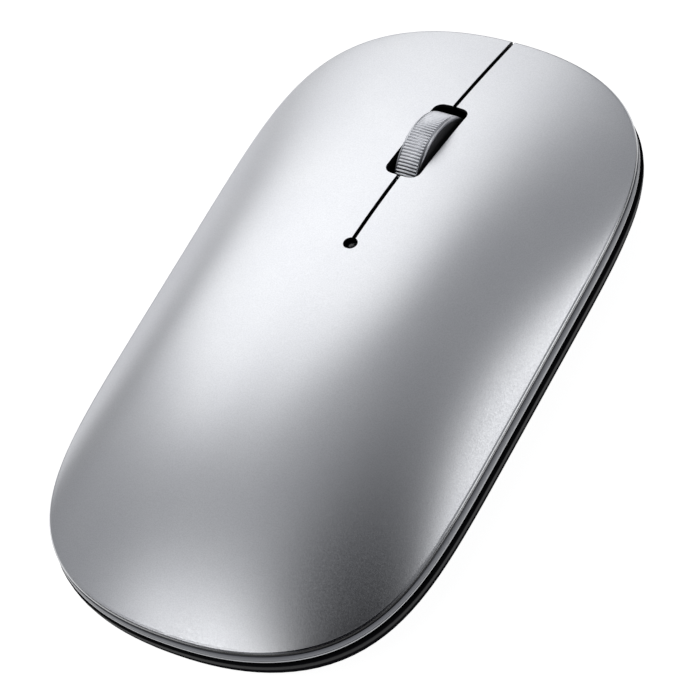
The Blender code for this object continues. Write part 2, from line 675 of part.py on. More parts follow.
def build_underside_controls(kit):
    under = BOARD_Z - CLEARANCE
    x, y = UNDER_SWITCH_X, UNDER_SWITCH_Y
    kit.box("power_switch", (-x - 2.0, y - 3.4, 2.5), (-x + 2.0, y + 3.4, under), kit.grey)
    knob = kit.box("power_knob", (-x - 1.1, y - 2.5, 0.9), (-x + 1.1, y + 0.5, 2.2), kit.white)
    for step in range(2):
        groove_y = y - 1.7 + 1.4 * step
        groove = kit.cutter_box(f"knob_groove_{step}", (-x - 2.0, groove_y - 0.2, 0.0),
                                (-x + 2.0, groove_y + 0.2, 1.15))
        combine(knob, groove, "DIFFERENCE")
    kit.box("pairing_switch", (x - 2.4, y - 2.4, 3.1), (x + 2.4, y + 2.4, under), kit.grey)
    cap = [(0.0, 2.6), (1.2, 2.6), (1.3, 2.2), (2.0, 2.2), (2.0, 1.0), (1.8, 0.85), (0.0, 0.85)]
    kit.turned("pairing_button", cap, (x, y, 0.0), kit.white, 24)


# ---------------------------------------------------------------- batteries

def build_batteries(kit):
    """Two cells, nose to tail, with the plates that join them."""
    end = (CELL_FRONT - CELL_REAR) / 2.0
    wrap = CELL_RADIUS - 0.15
    nipple = end - 0.8
    cell = [(0.0, end), (1.9, end), (1.9, nipple), (4.5, nipple), (wrap, end - 1.3), (wrap, 0.4 - end),
            (4.7, -end), (0.0, -end)]
    middle_y = (CELL_FRONT + CELL_REAR) / 2.0
    kit.turned("cell_left", cell, (-CELL_X, middle_y, CELL_Z), kit.label, 24, "Y")
    right = kit.turned("cell_right", cell, (CELL_X, middle_y, CELL_Z), kit.label, 24, "Y")
    right.rotation_euler = (math.radians(90.0), 0.0, 0.0)
    low, high, plate = CELL_Z - 3.55, CELL_Z + 3.45, 0.5
    bridge_front = CELL_REAR - CLEARANCE
    kit.box("contact_bridge", (-9.0, bridge_front - plate, low), (9.0, bridge_front, high), kit.gold, 0.1)
    rear = CELL_FRONT + CLEARANCE
    for name, side in (("contact_positive", -1.0), ("contact_negative", 1.0)):
        x = side * CELL_X
        kit.box(name, (x - 3.4, rear, low), (x + 3.4, rear + plate, high), kit.gold, 0.1)


def main():
    clear_scene()
    kit = Kit()
    build_metal_top(kit)
    build_key_plates(kit)
    build_base_case(kit)
    build_inner_frame(kit)
    build_battery_door(kit)
    build_feet(kit)
    build_screws(kit)
    build_wheel(kit)
    build_wheel_carriage(kit)
    build_main_board(kit)
    build_board_parts(kit)
    build_underside_controls(kit)
    build_batteries(kit)


main()
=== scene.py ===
"""Looks of the slim wireless mouse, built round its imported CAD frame.

The metal top, the lower case, the wheel and the underside fittings are modelled again in fine
detail and ride on the CAD bodies. The inner pieces keep their CAD shape and get new materials.
Frame: +Y to the front (wheel end), +X right, +Z up, origin on the table under the middle.
Sizes are in millimetres, as in the CAD source; MM turns them into metres.
"""

import json
import math

import bmesh
import bpy
import numpy
from mathutils import Matrix, Vector


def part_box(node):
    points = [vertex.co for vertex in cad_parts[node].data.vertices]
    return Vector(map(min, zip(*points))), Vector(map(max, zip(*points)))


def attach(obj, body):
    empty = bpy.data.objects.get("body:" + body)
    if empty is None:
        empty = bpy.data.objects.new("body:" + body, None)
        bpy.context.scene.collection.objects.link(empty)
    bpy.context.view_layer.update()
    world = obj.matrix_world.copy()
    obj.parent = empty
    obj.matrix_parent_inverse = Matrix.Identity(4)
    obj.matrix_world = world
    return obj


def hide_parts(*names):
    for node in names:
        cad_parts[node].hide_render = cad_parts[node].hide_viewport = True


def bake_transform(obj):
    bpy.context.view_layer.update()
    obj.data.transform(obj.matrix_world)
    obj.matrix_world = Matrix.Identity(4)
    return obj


MM = 0.001

# Plan outline as in the CAD. The dome's edge lies a little higher and further in, under the same crown.
HALF_LENGTH = 55.0
HALF_WIDTH = 30.0
SIDE_POWER = 2.2
END_POWER = 5.4
BASE_Z = 0.6
WIDEST_Z = 7.4
BASE_TOP_Z = 7.9
CREASE_Z = 10.9
CREASE_INSET = 0.42
CROWN_RISE = 11.94
CROWN_SKEW = 0.213
ACROSS_POWER = 2.4
ACROSS_ROUND = 0.9

# Metal top: openings and edges
BORDER_Y = 5.2            # where the front skins join the palm skin, just behind the relief hole
SLIT_HALF = 0.25
HOLE_Y = 6.6
HOLE_RADIUS = 1.0
SLOT_REAR_Y = 21.1
SLOT_FRONT_Y = 37.3
SLOT_HALF_WIDTH = 2.7
SLOT_CORNER = 1.4
SLOT_STEP = 0.08          # length over which the slit opens out into the slot
SOFT_EDGE = 0.07          # rounding of the cut edges
SKIN_WALL = 1.0
EDGE_WALL = 0.45          # the sheet is thinned towards its cut edges
THINNED_WIDTH = 3.0
ROW_STEP = 0.9            # spacing of the cross-sections along the outline
ROW_CLEARANCE = 0.35      # nearest that an evenly spaced section comes to one at the hole or slot
HOLE_STEPS = 24
CORNER_STEPS = 8
DOME_COLUMNS = 40
COLUMN_CROWDING = 1.35    # how much closer together the columns are at the rim
EDGE_FADE = 12            # how fast the columns leave the line of the cut edge
INNER_COLUMNS = 12
SKIN_INSET = 1.2          # inside face of the band
BAND_LOW_Z = 8.4
# (inset, height) down the rim: blasted slope, polished shoulder, groove painted dark as shade, satin band,
# lip
RIM_PROFILE = ((0.2, 10.77), (0.1, 10.64), (0.01, 10.48), (0.1, 10.44), (0.14, 9.85), (0.04, 9.76),
               (0.0, 9.62), (0.0, 8.88), (0.05, 8.84), (0.05, 8.77), (0.0, 8.72), (0.0, 8.46),
               (0.06, BAND_LOW_Z), (SKIN_INSET, BAND_LOW_Z))
BLASTED_STRIPS = (0,)
POLISHED_STRIPS = (1, 2)
# The groove's two strips are painted black as shade, and so is the band's underside.
SHADE_PAINTED_STRIPS = (3, 4, 13)

# Finishes of the metal top, in the order of its material slots
DOME, BLASTED, POLISHED, SATIN, BLACK_AND_PAINTED_SHADE = range(5)

# Lower case
CASE_SPREAD = 1.006       # it stands out a little beyond the metal top at the sides
CASE_FRONT_POWER = 5.6    # and its front corners are squarer
CASE_WALL = 1.2
CASE_EDGE = 0.5           # rounding of the upper rim
BOTTOM_INSET = 8.0
CASE_POINTS = 200
BOWL_STEPS = 12
GAP = 0.3

# Inside of the lower case: battery bay, wheel posts, screw pillars
INSIDE_Z = BASE_Z + CASE_WALL - 0.4     # what stands on the floor starts a little inside it
BAY_HALF_WIDTH = 12.3
BAY_REAR_Y = -44.1
BAY_FRONT_Y = 4.6
BAY_WALL = 1.0
BAY_ROOF_Z = 12.72
ROOF_REAR_Y = -38.0
ROOF_FRONT_Y = 1.0
PIVOT_Y = 38.4
PIVOT_Z = 9.5
PIVOT_BORE = 1.2
POST_INNER_X = 6.6
POST_OUTER_X = 8.0
POST_HALF_LENGTH = 1.9
POST_ABOVE_PIVOT = 2.2
PILLAR_RADIUS = 2.5
PILLAR_TOP_Z = 6.2
STANDOFF_RADIUS = 2.2
STANDOFF_TOP_Z = 5.7
THREAD_RADIUS = 1.1
THREAD_LOW_Z = 2.6
BORE_TOP_Z = 9.0          # the bores end above every pillar

# Openings in the underside
OPENING_TOP_Z = 3.0       # the cutters end above the floor of the case
COUNTERBORE_RADIUS = 2.2
COUNTERBORE_TOP_Z = 2.6
SHANK_RADIUS = 1.3
WINDOW_RADIUS = 2.8
PUSH_HOLE_RADIUS = 2.3
SLIDE_HALF = (1.4, 2.8)
SLIDE_CORNER = 0.6
FOOT_CORNER = 1.5

# Battery door
DOOR_HALF_WIDTH = 10.7
DOOR_FRONT = 3.2
DOOR_TOP = 1.6
GRIP_COUNT = 5
GRIP_FRONT_Y = -34.0
GRIP_PITCH = 1.8
GRIP_HALF_LENGTH = 6.5
GRIP_TAPER = 0.5          # each groove is this much shorter at both ends
GRIP_HALF_WIDTH = 0.45

# CAD nodes of the screws and feet
CASE_SCREWS = ("case_screw_front", "case_screw_left", "case_screw_right")
BOARD_SCREWS = ("board_screw_left", "board_screw_right")
FEET = ("foot_front", "foot_left", "foot_right")

# Turned profiles: (radius, height) or, for the hub, (radius, distance from the wheel's middle)
AXIS = 0.001              # stands for radius zero, so that the end faces close
SCREW_PROFILE = ((AXIS, 8.4), (0.6, 8.3), (0.9, 7.9), (0.9, 2.3), (1.75, 2.3), (1.85, 2.2),
                 (1.85, 1.75), (1.72, 1.45), (1.4, 1.26), (0.9, 1.2), (AXIS, 1.18))
RECESS_ENDS = ((1.0, 0.21, 1.0), (0.55, 0.12, 2.05))     # (half length, half width, height)
RECESS_TURNS = (20.0, 110.0)
CAP_PROFILE = ((AXIS, 2.6), (1.2, 2.6), (1.3, 2.2), (2.0, 2.2), (2.0, 1.1), (1.93, 0.93),
               (1.8, 0.86), (1.62, 0.86), (1.35, 0.97), (0.8, 1.08), (AXIS, 1.12))
HUB_FACE = ((1.2, 3.1), (2.0, 3.1), (2.25, 2.9), (2.45, 1.5), (3.2, 1.3), (5.4, 1.4), (6.6, 1.5),
            (7.3, 1.62), (7.8, 1.78), (8.0, 1.88), (8.12, 1.9))

# Scroll wheel
WHEEL_Y = 28.1
WHEEL_Z = 11.95
WHEEL_RADIUS = 8.9
RIB_COUNT = 112
RIB_DEPTH = 0.115
RIB_STEPS = 8
TREAD_HALF = 1.56

# Power slider and status light
RIDGE_PITCH = 0.5
RIDGE_GAP = 0.22
LENS_DEPTH = 0.55         # how far the lens lies below the dome
LENS_RADIUS = 0.7
LENS_FOOT_RADIUS = 1.0

# Floor and light. Directions are (azimuth from +Y towards +X, elevation) in degrees; lengths in metres
FLOOR_HALF = 6.0
GLOW_NEAR = 0.95          # light given off by the floor near the mouse and far from it
GLOW_FAR = 0.12
GLOW_START = 0.09
GLOW_END = 0.22
DIM_PATCH = (127.0, 41.0)
# (name, azimuth, elevation, distance, width, height, watts)
PANELS = (("key_panel", -45.0, 35.4, 1.0, 0.94, 1.16, 3.66),
          ("side_strip", 61.0, 19.0, 1.0, 0.29, 0.5, 0.74),
          ("rear_panel", -157.0, 52.0, 1.0, 0.55, 0.18, 0.87))

# Camera: the photograph's viewpoint, a distant telephoto view with a rolled frame (mm, degrees)
CAMERA_AZIMUTH = 43.6
CAMERA_ELEVATION = 51.74
CAMERA_ROLL = 20.22
CAMERA_DISTANCE = 611.2
CAMERA_LENS = 219.6
AIM = Vector((0.0, 0.0, 8.0))
AIM_RIGHT = -0.73
AIM_UP = -1.54


# ----- outline and dome

def signed_power(value, power):
    return math.copysign(abs(value) ** power, value)


def outline_point(angle, inset, z, end_power=END_POWER):
    """A point of the plan outline, moved in by inset, at a height."""
    x = (HALF_WIDTH - inset) * signed_power(math.cos(angle), 2.0 / SIDE_POWER)
    y = (HALF_LENGTH - inset) * signed_power(math.sin(angle), 2.0 / end_power)
    return Vector((x, y, z))


def outline_angle(y):
    """The outline angle, between -90 and 90 degrees, at which the dome's edge is at y."""
    return math.asin(signed_power(y / (HALF_LENGTH - CREASE_INSET), END_POWER / 2.0))


def half_width(y):
    """Distance from the centre line to the dome's edge."""
    reach = min(abs(y) / (HALF_LENGTH - CREASE_INSET), 1.0)
    return (HALF_WIDTH - CREASE_INSET) * (1.0 - reach ** END_POWER) ** (1.0 / SIDE_POWER)


def dome_height(x, y):
    """Height of the dome: a crown along the mouse that falls to the edge on both sides."""
    along = y / (HALF_LENGTH - CREASE_INSET)
    crown = CROWN_RISE * max(1.0 - along * along, 0.0) * (1.0 - CROWN_SKEW * along)
    across = min(abs(x) / max(half_width(y), 1e-6), 1.0)
    return CREASE_Z + crown * (1.0 - across ** ACROSS_POWER) ** ACROSS_ROUND


def dome_normal(x, y):
    """Outward direction of the dome, read a little inside its edge, where the slope is finite."""
    inside = 0.985
    step = 0.02
    x *= inside
    y *= inside
    slope_x = (dome_height(x + step, y) - dome_height(x - step, y)) / (2.0 * step)
    slope_y = (dome_height(x, y + step) - dome_height(x, y - step)) / (2.0 * step)
    return Vector((-slope_x, -slope_y, 1.0)).normalized()


def angles_along_outline(start, end, step):
    """Outline angles from start to end whose points are evenly spaced along the edge."""
    fine = numpy.linspace(start, end, 4001)
    points = [outline_point(angle, CREASE_INSET, 0.0) for angle in fine]
    lengths = [(b - a).length for a, b in zip(points, points[1:])]
    travelled = numpy.concatenate([[0.0], numpy.cumsum(lengths)])
    stops = numpy.linspace(0.0, travelled[-1], int(travelled[-1] / step) + 1)
    return list(numpy.interp(stops, travelled, fine))


# ----- mesh helpers

def new_object(name, mesh):
    obj = bpy.data.objects.new(name, mesh)
    bpy.context.scene.collection.objects.link(obj)
    return obj


def finish_mesh(name, work, merge=1e-4):
    """Turn a bmesh drawn in millimetres into a closed, outward-facing object in metres."""
    bmesh.ops.remove_doubles(work, verts=work.verts, dist=merge)
    bmesh.ops.dissolve_degenerate(work, edges=work.edges, dist=merge)
    bmesh.ops.recalc_face_normals(work, faces=work.faces)
    bmesh.ops.scale(work, vec=(MM, MM, MM), verts=work.verts)
    mesh = bpy.data.meshes.new(name)
    work.to_mesh(mesh)
    work.free()
    return new_object(name, mesh)


def paint(obj, *materials):
    """Give a piece its materials. A piece with one finish first loses what its cutters left."""
    if len(materials) == 1:
        obj.data.materials.clear()
    for material in materials:
        obj.data.materials.append(material)


def smooth(obj, degrees):
    obj.data.shade_smooth()
    obj.data.set_sharp_from_angle(angle=math.radians(degrees))
    return obj


def bridge(work, lower, upper, closed=True):
    """Faces between two rows of vertices. Returns them in order."""
    count = len(lower)
    faces = []
    for i in range(count if closed else count - 1):
        j = (i + 1) % count
        faces.append(work.faces.new((lower[i], lower[j], upper[j], upper[i])))
    return faces


def loft(name, rings, cap_start=False, cap_end=False, wrap=False):
    """A skin through rings of points, each ring closed."""
    work = bmesh.new()
    rows = [[work.verts.new(point) for point in ring] for ring in rings]
    for lower, upper in zip(rows, rows[1:]):
        bridge(work, lower, upper)
    if wrap:
        bridge(work, rows[-1], rows[0])
    if cap_start:
        work.faces.new(list(reversed(rows[0])))
    if cap_end:
        work.faces.new(rows[-1])
    return finish_mesh(name, work)


def lathe(name, profile, centre=(0.0, 0.0, 0.0), axis="Z", steps=48, radius_at=None):
    """A turned solid. The closed profile holds (radius, distance along the axis) pairs, and
    radius_at may change a radius from one step of the turn to the next."""
    work = bmesh.new()
    rows = []
    for step in range(steps):
        angle = 2.0 * math.pi * step / steps
        row = []
        for radius, along in profile:
            if radius_at:
                radius = radius_at(radius, along, step)
            a, b = radius * math.cos(angle), radius * math.sin(angle)
            row.append(work.verts.new((along, a, b) if axis == "X" else (a, b, along)))
        rows.append(row)
    for step in range(steps):
        bridge(work, rows[step], rows[(step + 1) % steps])
    bmesh.ops.translate(work, verts=work.verts, vec=centre)
    return finish_mesh(name, work)


def block(name, low, high):
    """An upright box between its lowest and highest corner."""
    work = bmesh.new()
    bmesh.ops.create_cube(work, size=1.0)
    for vertex in work.verts:
        vertex.co = [b if along > 0.0 else a for a, b, along in zip(low, high, vertex.co)]
    return finish_mesh(name, work)


def pill_ring(low, high, corner, inset, z, sides=8):
    """A rectangle with round corners, moved in by inset."""
    ring = []
    centres = ((high[0] - corner, high[1] - corner, 0), (low[0] + corner, high[1] - corner, 1),
               (low[0] + corner, low[1] + corner, 2), (high[0] - corner, low[1] + corner, 3))
    for x, y, quarter in centres:
        for step in range(sides + 1):
            angle = math.radians(90.0 * (quarter + step / sides))
            reach = corner - inset
            ring.append(Vector((x + reach * math.cos(angle), y + reach * math.sin(angle), z)))
    return ring


def pill(name, low, high, corner, levels):
    """An upright block with round corners; levels holds (inset, height) pairs, bottom first."""
    rings = [pill_ring(low, high, corner, inset, z) for inset, z in levels]
    return loft(name, rings, cap_start=True, cap_end=True)


def rod(name, radius, start, end, steps=32):
    """An upright or lying cylinder between two points that differ along one axis."""
    start, end = Vector(start), Vector(end)
    work = bmesh.new()
    bmesh.ops.create_cone(work, cap_ends=True, segments=steps, radius1=radius, radius2=radius,
                          depth=(end - start).length)
    turn = Vector((0.0, 0.0, 1.0)).rotation_difference(end - start).to_matrix()
    bmesh.ops.rotate(work, verts=work.verts, cent=(0.0, 0.0, 0.0), matrix=turn)
    bmesh.ops.translate(work, verts=work.verts, vec=(start + end) / 2.0)
    return finish_mesh(name, work)


def combine(obj, tool, operation):
    """Join, cut or intersect obj with tool, keep the result, and remove the tool."""
    boolean = obj.modifiers.new("Combine", "BOOLEAN")
    boolean.operation = operation
    boolean.object = tool
    boolean.solver = "MANIFOLD"
    bpy.context.view_layer.update()
    evaluated = obj.evaluated_get(bpy.context.evaluated_depsgraph_get())
    result = bpy.data.meshes.new_from_object(evaluated)
    obj.modifiers.clear()
    obj.data = result
    bpy.data.objects.remove(tool)
    return obj


# ----- metal top

def inner_edge(y):
    """Distance from the centre line to the cut edge of a front skin: hole, slit or slot."""
    if y <= HOLE_Y - HOLE_RADIUS:
        return 0.0
    if y < HOLE_Y + HOLE_RADIUS:
        chord = math.sqrt(max(HOLE_RADIUS ** 2 - (y - HOLE_Y) ** 2, 0.0))
        return chord if y < HOLE_Y else max(chord, SLIT_HALF)
    depth = min(y - SLOT_REAR_Y, SLOT_FRONT_Y - y)
    if depth < -1e-9:
        return SLIT_HALF
    if depth >= SLOT_CORNER:
        return SLOT_HALF_WIDTH
    side = math.sqrt(max(SLOT_CORNER ** 2 - (SLOT_CORNER - depth) ** 2, 0.0))
    return SLOT_HALF_WIDTH - SLOT_CORNER + side


def cut_rows():
    """Places along Y where a cross-section has to lie, to follow the hole and the slot."""
    hole_turns = [math.radians(180.0 * step / HOLE_STEPS) for step in range(HOLE_STEPS + 1)]
    corner_turns = [math.radians(90.0 * step / CORNER_STEPS) for step in range(CORNER_STEPS + 1)]
    rows = [HOLE_Y - HOLE_RADIUS * math.cos(turn) for turn in hole_turns]
    turns = [SLOT_CORNER * (1.0 - math.cos(turn)) for turn in corner_turns]
    rows += [SLOT_REAR_Y - SLOT_STEP] + [SLOT_REAR_Y + turn for turn in turns]
    rows += [SLOT_FRONT_Y - turn for turn in turns] + [SLOT_FRONT_Y + SLOT_STEP]
    return sorted(rows)


def front_rows():
    """Outline angles of the cross-sections of a front skin, from the border to the front slit."""
    tip = math.acos((SLIT_HALF / (HALF_WIDTH - CREASE_INSET)) ** (SIDE_POWER / 2.0))
    wanted = [outline_angle(y) for y in cut_rows()]
    even = angles_along_outline(outline_angle(BORDER_Y), tip, ROW_STEP)
    places = [outline_point(angle, CREASE_INSET, 0.0).y for angle in even]
    kept = [angle for angle, y in zip(even, places)
            if y > SLOT_FRONT_Y + 2.0 or min(abs(y - row) for row in cut_rows()) > ROW_CLEARANCE]
    return sorted(kept + wanted)


def column_shares():
    """Shares of the way from the middle or cut edge to the rim, closer together at the rim."""
    return [1.0 - (1.0 - i / DOME_COLUMNS) ** COLUMN_CROWDING for i in range(DOME_COLUMNS + 1)]


def rim_points(angle, side):
    """The rim's profile at one outline angle, on the right (side 1) or the left (side -1)."""
    points = [outline_point(angle, inset, z) for inset, z in RIM_PROFILE]
    return [Vector((side * point.x, point.y, point.z)) for point in points]


def inner_row(start_x, y, angle, side):
    """The underside of the skin, from the rim back to start_x."""
    rim = outline_point(angle, SKIN_INSET, 0.0)
    limit = HALF_LENGTH - SKIN_INSET
    row = []
    for i in range(INNER_COLUMNS, -1, -1):
        share = i / INNER_COLUMNS
        x = start_x + (max(rim.x, start_x) - start_x) * share
        spot_y = y + (rim.y - y) * share
        spot_y = max(min(spot_y, limit), -limit)
        thinned = max(1.0 - (x - start_x) / THINNED_WIDTH, 0.0) if start_x > 0.0 else 0.0
        wall = SKIN_WALL - (SKIN_WALL - EDGE_WALL) * thinned
        low = min(dome_height(x, spot_y), dome_height(x, y)) - wall
        row.append(Vector((side * x, spot_y, max(low, BAND_LOW_Z + 0.4))))
    return row


def front_loop(angle, cut, inward, side):
    """One closed cross-section of a front skin in four runs: cut wall, dome, rim, underside."""
    rim = outline_point(angle, CREASE_INSET, 0.0)
    soft = SOFT_EDGE if cut[0] > 1e-6 else 0.0
    soft = min(soft, max(rim.x - cut[0], 0.0))
    start_x = cut[0] + inward.x * soft
    start_y = cut[1] + inward.y * soft
    dome = []
    for share in column_shares():
        x = start_x + (rim.x - start_x) * share
        y = cut[1] + (start_y - cut[1]) * (1.0 - share) ** EDGE_FADE
        dome.append(Vector((side * x, y, dome_height(x, y))))
    down = -dome_normal(cut[0], cut[1])
    down.x *= side
    edge = Vector((side * cut[0], cut[1], dome_height(cut[0], cut[1])))
    middle = edge + Vector((side * inward.x, inward.y, 0.0)) * (soft * 0.3) + down * (soft * 0.3)
    inner = inner_row(cut[0], cut[1], angle, side)
    wall = [edge + down * soft, middle]
    return wall, dome, rim_points(angle, side), inner


def cut_directions(cuts):
    """For each point of the cut edge, the direction in plan from the opening into the metal."""
    directions = []
    for i, here in enumerate(cuts):
        before = cuts[max(i - 1, 0)]
        after = cuts[min(i + 1, len(cuts) - 1)]
        along = (here - before).normalized() + (after - here).normalized()
        directions.append(Vector((along.y, -along.x)).normalized())
    return directions


def skin_from_rows(name, rows, dome_range):
    """Loft closed cross-sections, then give the dome its exact normals so that no join shows."""
    work = bmesh.new()
    tag = work.faces.layers.int.new("strip")
    verts = [[work.verts.new(point) for point in row] for row in rows]
    first_dome, last_dome = dome_range
    for lower, upper in zip(verts, verts[1:]):
        for i, face in enumerate(bridge(work, lower, upper)):
            face[tag] = strip_of(i, first_dome, last_dome)
    work.faces.new(list(reversed(verts[0])))[tag] = BLACK_AND_PAINTED_SHADE
    work.faces.new(verts[-1])[tag] = BLACK_AND_PAINTED_SHADE
    obj = finish_mesh(name, work)
    smooth(obj, 20.0)
    strips = [value.value for value in obj.data.attributes["strip"].data]
    for polygon in obj.data.polygons:
        polygon.material_index = strips[polygon.index]
    exact = []
    for polygon in obj.data.polygons:
        for index in polygon.vertices:
            point = obj.data.vertices[index].co / MM
            if strips[polygon.index] == DOME:
                normal = dome_normal(abs(point.x), point.y)
                exact.append((math.copysign(normal.x, point.x), normal.y, normal.z))
            else:
                exact.append((0.0, 0.0, 0.0))
    obj.data.normals_split_custom_set(exact)
    obj.data.attributes.remove(obj.data.attributes["strip"])
    return obj


def strip_of(i, first_dome, last_dome):
    """The finish of one strip of a skin: the inside and the cut edges are black, and the groove is painted
    black as shade.
    """
    if first_dome <= i < last_dome:
        return DOME
    down_the_rim = i - last_dome if i >= last_dome else first_dome - 1 - i
    if i < first_dome < len(RIM_PROFILE) or down_the_rim >= len(RIM_PROFILE):
        return BLACK_AND_PAINTED_SHADE
    if down_the_rim in BLASTED_STRIPS:
        return BLASTED
    if down_the_rim in POLISHED_STRIPS:
        return POLISHED
    return BLACK_AND_PAINTED_SHADE if down_the_rim in SHADE_PAINTED_STRIPS else SATIN


def build_front_skin(name, side):
    """One front half of the metal top, from the border line to the front end of the slit."""
    angles = front_rows()
    cuts = []
    for angle in angles:
        y = outline_point(angle, CREASE_INSET, 0.0).y
        cuts.append(Vector((min(inner_edge(y), half_width(y)), y)))
    rows = []
    for angle, cut, inward in zip(angles, cuts, cut_directions(cuts)):
        wall, dome, rim, inner = front_loop(angle, cut, inward, side)
        rows.append(wall + dome + rim + inner)
    first = len(wall)
    return skin_from_rows(name, rows, (first, first + DOME_COLUMNS))


def build_palm_skin():
    """The rear of the metal top, from the rear end to the border line, across both sides."""
    angles = angles_along_outline(-math.pi / 2.0, outline_angle(BORDER_Y), ROW_STEP)
    rows = []
    for angle in angles:
        rim = outline_point(angle, CREASE_INSET, 0.0)
        half = [Vector((rim.x * share, rim.y, dome_height(rim.x * share, rim.y)))
                for share in column_shares()]
        other = [Vector((-point.x, point.y, point.z)) for point in half]
        inner = inner_row(0.0, rim.y, angle, 1.0)
        back = [Vector((-point.x, point.y, point.z)) for point in reversed(inner[:-1])]
        rows.append(list(reversed(rim_points(angle, -1.0))) + list(reversed(other)) + half[1:]
                    + rim_points(angle, 1.0) + inner + back)
    first = len(RIM_PROFILE)
    return skin_from_rows("palm_skin", rows, (first, first + 2 * DOME_COLUMNS))


def build_metal_top(looks):
    """Palm skin on the case, and two front skins in place of the key halves."""
    materials = (looks["blasted_metal"], looks["blasted_metal"], looks["polished_edge"],
                 looks["satin_rim_painted_reflection"], looks["black_and_painted_shade"])
    palm = build_palm_skin()
    paint(palm, *materials)
    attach(palm, "case")
    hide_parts("palm_shell")
    for name, side, body, node in (("left_key_skin", -1.0, "left_key", "left_button"),
                                   ("right_key_skin", 1.0, "right_key", "right_button")):
        key = build_front_skin(name, side)
        paint(key, *materials)
        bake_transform(key)
        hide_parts(node)


# ----- scroll wheel

def rib_radius(radius, along, step):
    """Round ribs with a valley between each two, across the tread only."""
    if radius < WHEEL_RADIUS - 1e-6 or abs(along) > TREAD_HALF + 1e-6:
        return radius
    wave = 0.5 - 0.5 * math.cos(2.0 * math.pi * step / RIB_STEPS)
    return radius - RIB_DEPTH * wave ** 1.5


def build_wheel(looks):
    """Tyre with round shoulders and a ribbed tread, and the dished hub inside it."""
    centre = (0.0, WHEEL_Y, WHEEL_Z)
    crown = WHEEL_RADIUS
    right = [(crown - 0.8, 1.95), (crown - 0.56, 2.02), (crown - 0.34, 2.0), (crown - 0.14, 1.9),
             (crown - 0.04, 1.78), (crown - 0.02, 1.68), (crown - 0.12, TREAD_HALF + 0.03),
             (crown, TREAD_HALF), (crown, 0.0)]
    left = [(radius, -along) for radius, along in reversed(right[:-1])]
    tyre = lathe("ribbed_tread", right + left, centre, "X", RIB_COUNT * RIB_STEPS, rib_radius)
    smooth(tyre, 35.0)
    paint(tyre, looks["wheel_metal"])
    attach(tyre, "wheel")
    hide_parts("wheel_tyre")

    other = [(radius, -along) for radius, along in reversed(HUB_FACE)]
    core = lathe("wheel_core", list(HUB_FACE) + other, centre, "X", 96)
    smooth(core, 35.0)
    paint(core, looks["wheel_core"])
    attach(core, "wheel")
    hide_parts("wheel_hub")


def build_indicator(looks):
    """Smoked lens of the status light, sunk in the relief hole."""
    top = dome_height(0.0, HOLE_Y) - LENS_DEPTH
    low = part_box("light_pipe")[0].z / MM
    profile = [(AXIS, top), (0.25, top - 0.02), (0.5, top - 0.09), (0.66, top - 0.2),
               (LENS_RADIUS, top - 0.35), (LENS_RADIUS, low + 1.2), (LENS_FOOT_RADIUS, low + 1.0),
               (LENS_FOOT_RADIUS, low + 0.1), (LENS_FOOT_RADIUS - 0.1, low), (AXIS, low)]
    lens = lathe("indicator_lens", profile, (0.0, HOLE_Y, 0.0), "Z", 40)
    smooth(lens, 30.0)
    paint(lens, looks["smoked"])
    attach(lens, "case")
    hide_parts("light_pipe")


# ----- lower case

def case_ring(inset, z):
    """The lower case's outline, moved in by inset, at a height."""
    ring = []
    for angle in case_angles():
        power = CASE_FRONT_POWER if math.sin(angle) > 0.0 else END_POWER
        point = outline_point(angle, inset, z, power)
        point.x *= CASE_SPREAD
        ring.append(point)
    return ring


def case_angles():
    """Outline angles whose points are evenly spaced all the way round."""
    quarter = (HALF_LENGTH + HALF_WIDTH) * 4.0 / CASE_POINTS
    angles = angles_along_outline(-math.pi / 2.0, math.pi / 2.0, quarter)
    return angles[:-1] + [math.pi - angle for angle in reversed(angles)][:-1]


def bowl(depth, low_z):
    """Rings of a bowl that hugs the lower case's outside, moved in by depth."""
    rings = []
    for step in range(BOWL_STEPS, -1, -1):
        turn = math.radians(90.0 * step / BOWL_STEPS)
        inset = depth + BOTTOM_INSET * (1.0 - math.cos(turn))
        rings.append(case_ring(inset, WIDEST_Z - (WIDEST_Z - low_z) * math.sin(turn)))
    return rings


def case_shell():
    """The open lower case, with a rounded rim."""
    outside = bowl(0.0, BASE_Z)
    rim = []
    for step in range(5):
        turn = math.radians(22.5 * step)
        inset = CASE_EDGE * (1.0 - math.cos(turn))
        rim.append(case_ring(inset, BASE_TOP_Z - CASE_EDGE + CASE_EDGE * math.sin(turn)))
    inside = list(reversed(bowl(CASE_WALL, BASE_Z + CASE_WALL)))
    inner_rim = [case_ring(CASE_WALL, BASE_TOP_Z)]
    return loft("lower_case", outside + rim + inner_rim + inside, cap_start=True, cap_end=True)


def flared_cutter(name, radius, centre, top):
    """A round cutter whose mouth at the underside opens out, which leaves a chamfered edge."""
    mouth = radius + 0.25
    profile = [(AXIS, 0.0), (mouth, 0.0), (mouth, BASE_Z), (radius, BASE_Z + 0.25), (radius, top),
               (AXIS, top)]
    return lathe(name, profile, (*centre, 0.0), "Z", 48)


def flared_pill(name, low, high, corner, top):
    """A cutter with round corners whose mouth at the underside opens out."""
    levels = ((-0.2, 0.0), (-0.2, BASE_Z), (0.0, BASE_Z + 0.2), (0.0, top))
    return pill(name, low, high, corner, levels)


def node_box_mm(node):
    """Lowest and highest corner of a CAD node."""
    low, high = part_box(node)
    return low / MM, high / MM


def centre_of(node):
    """Middle of a CAD node in plan."""
    low, high = node_box_mm(node)
    return (low.x + high.x) / 2.0, (low.y + high.y) / 2.0


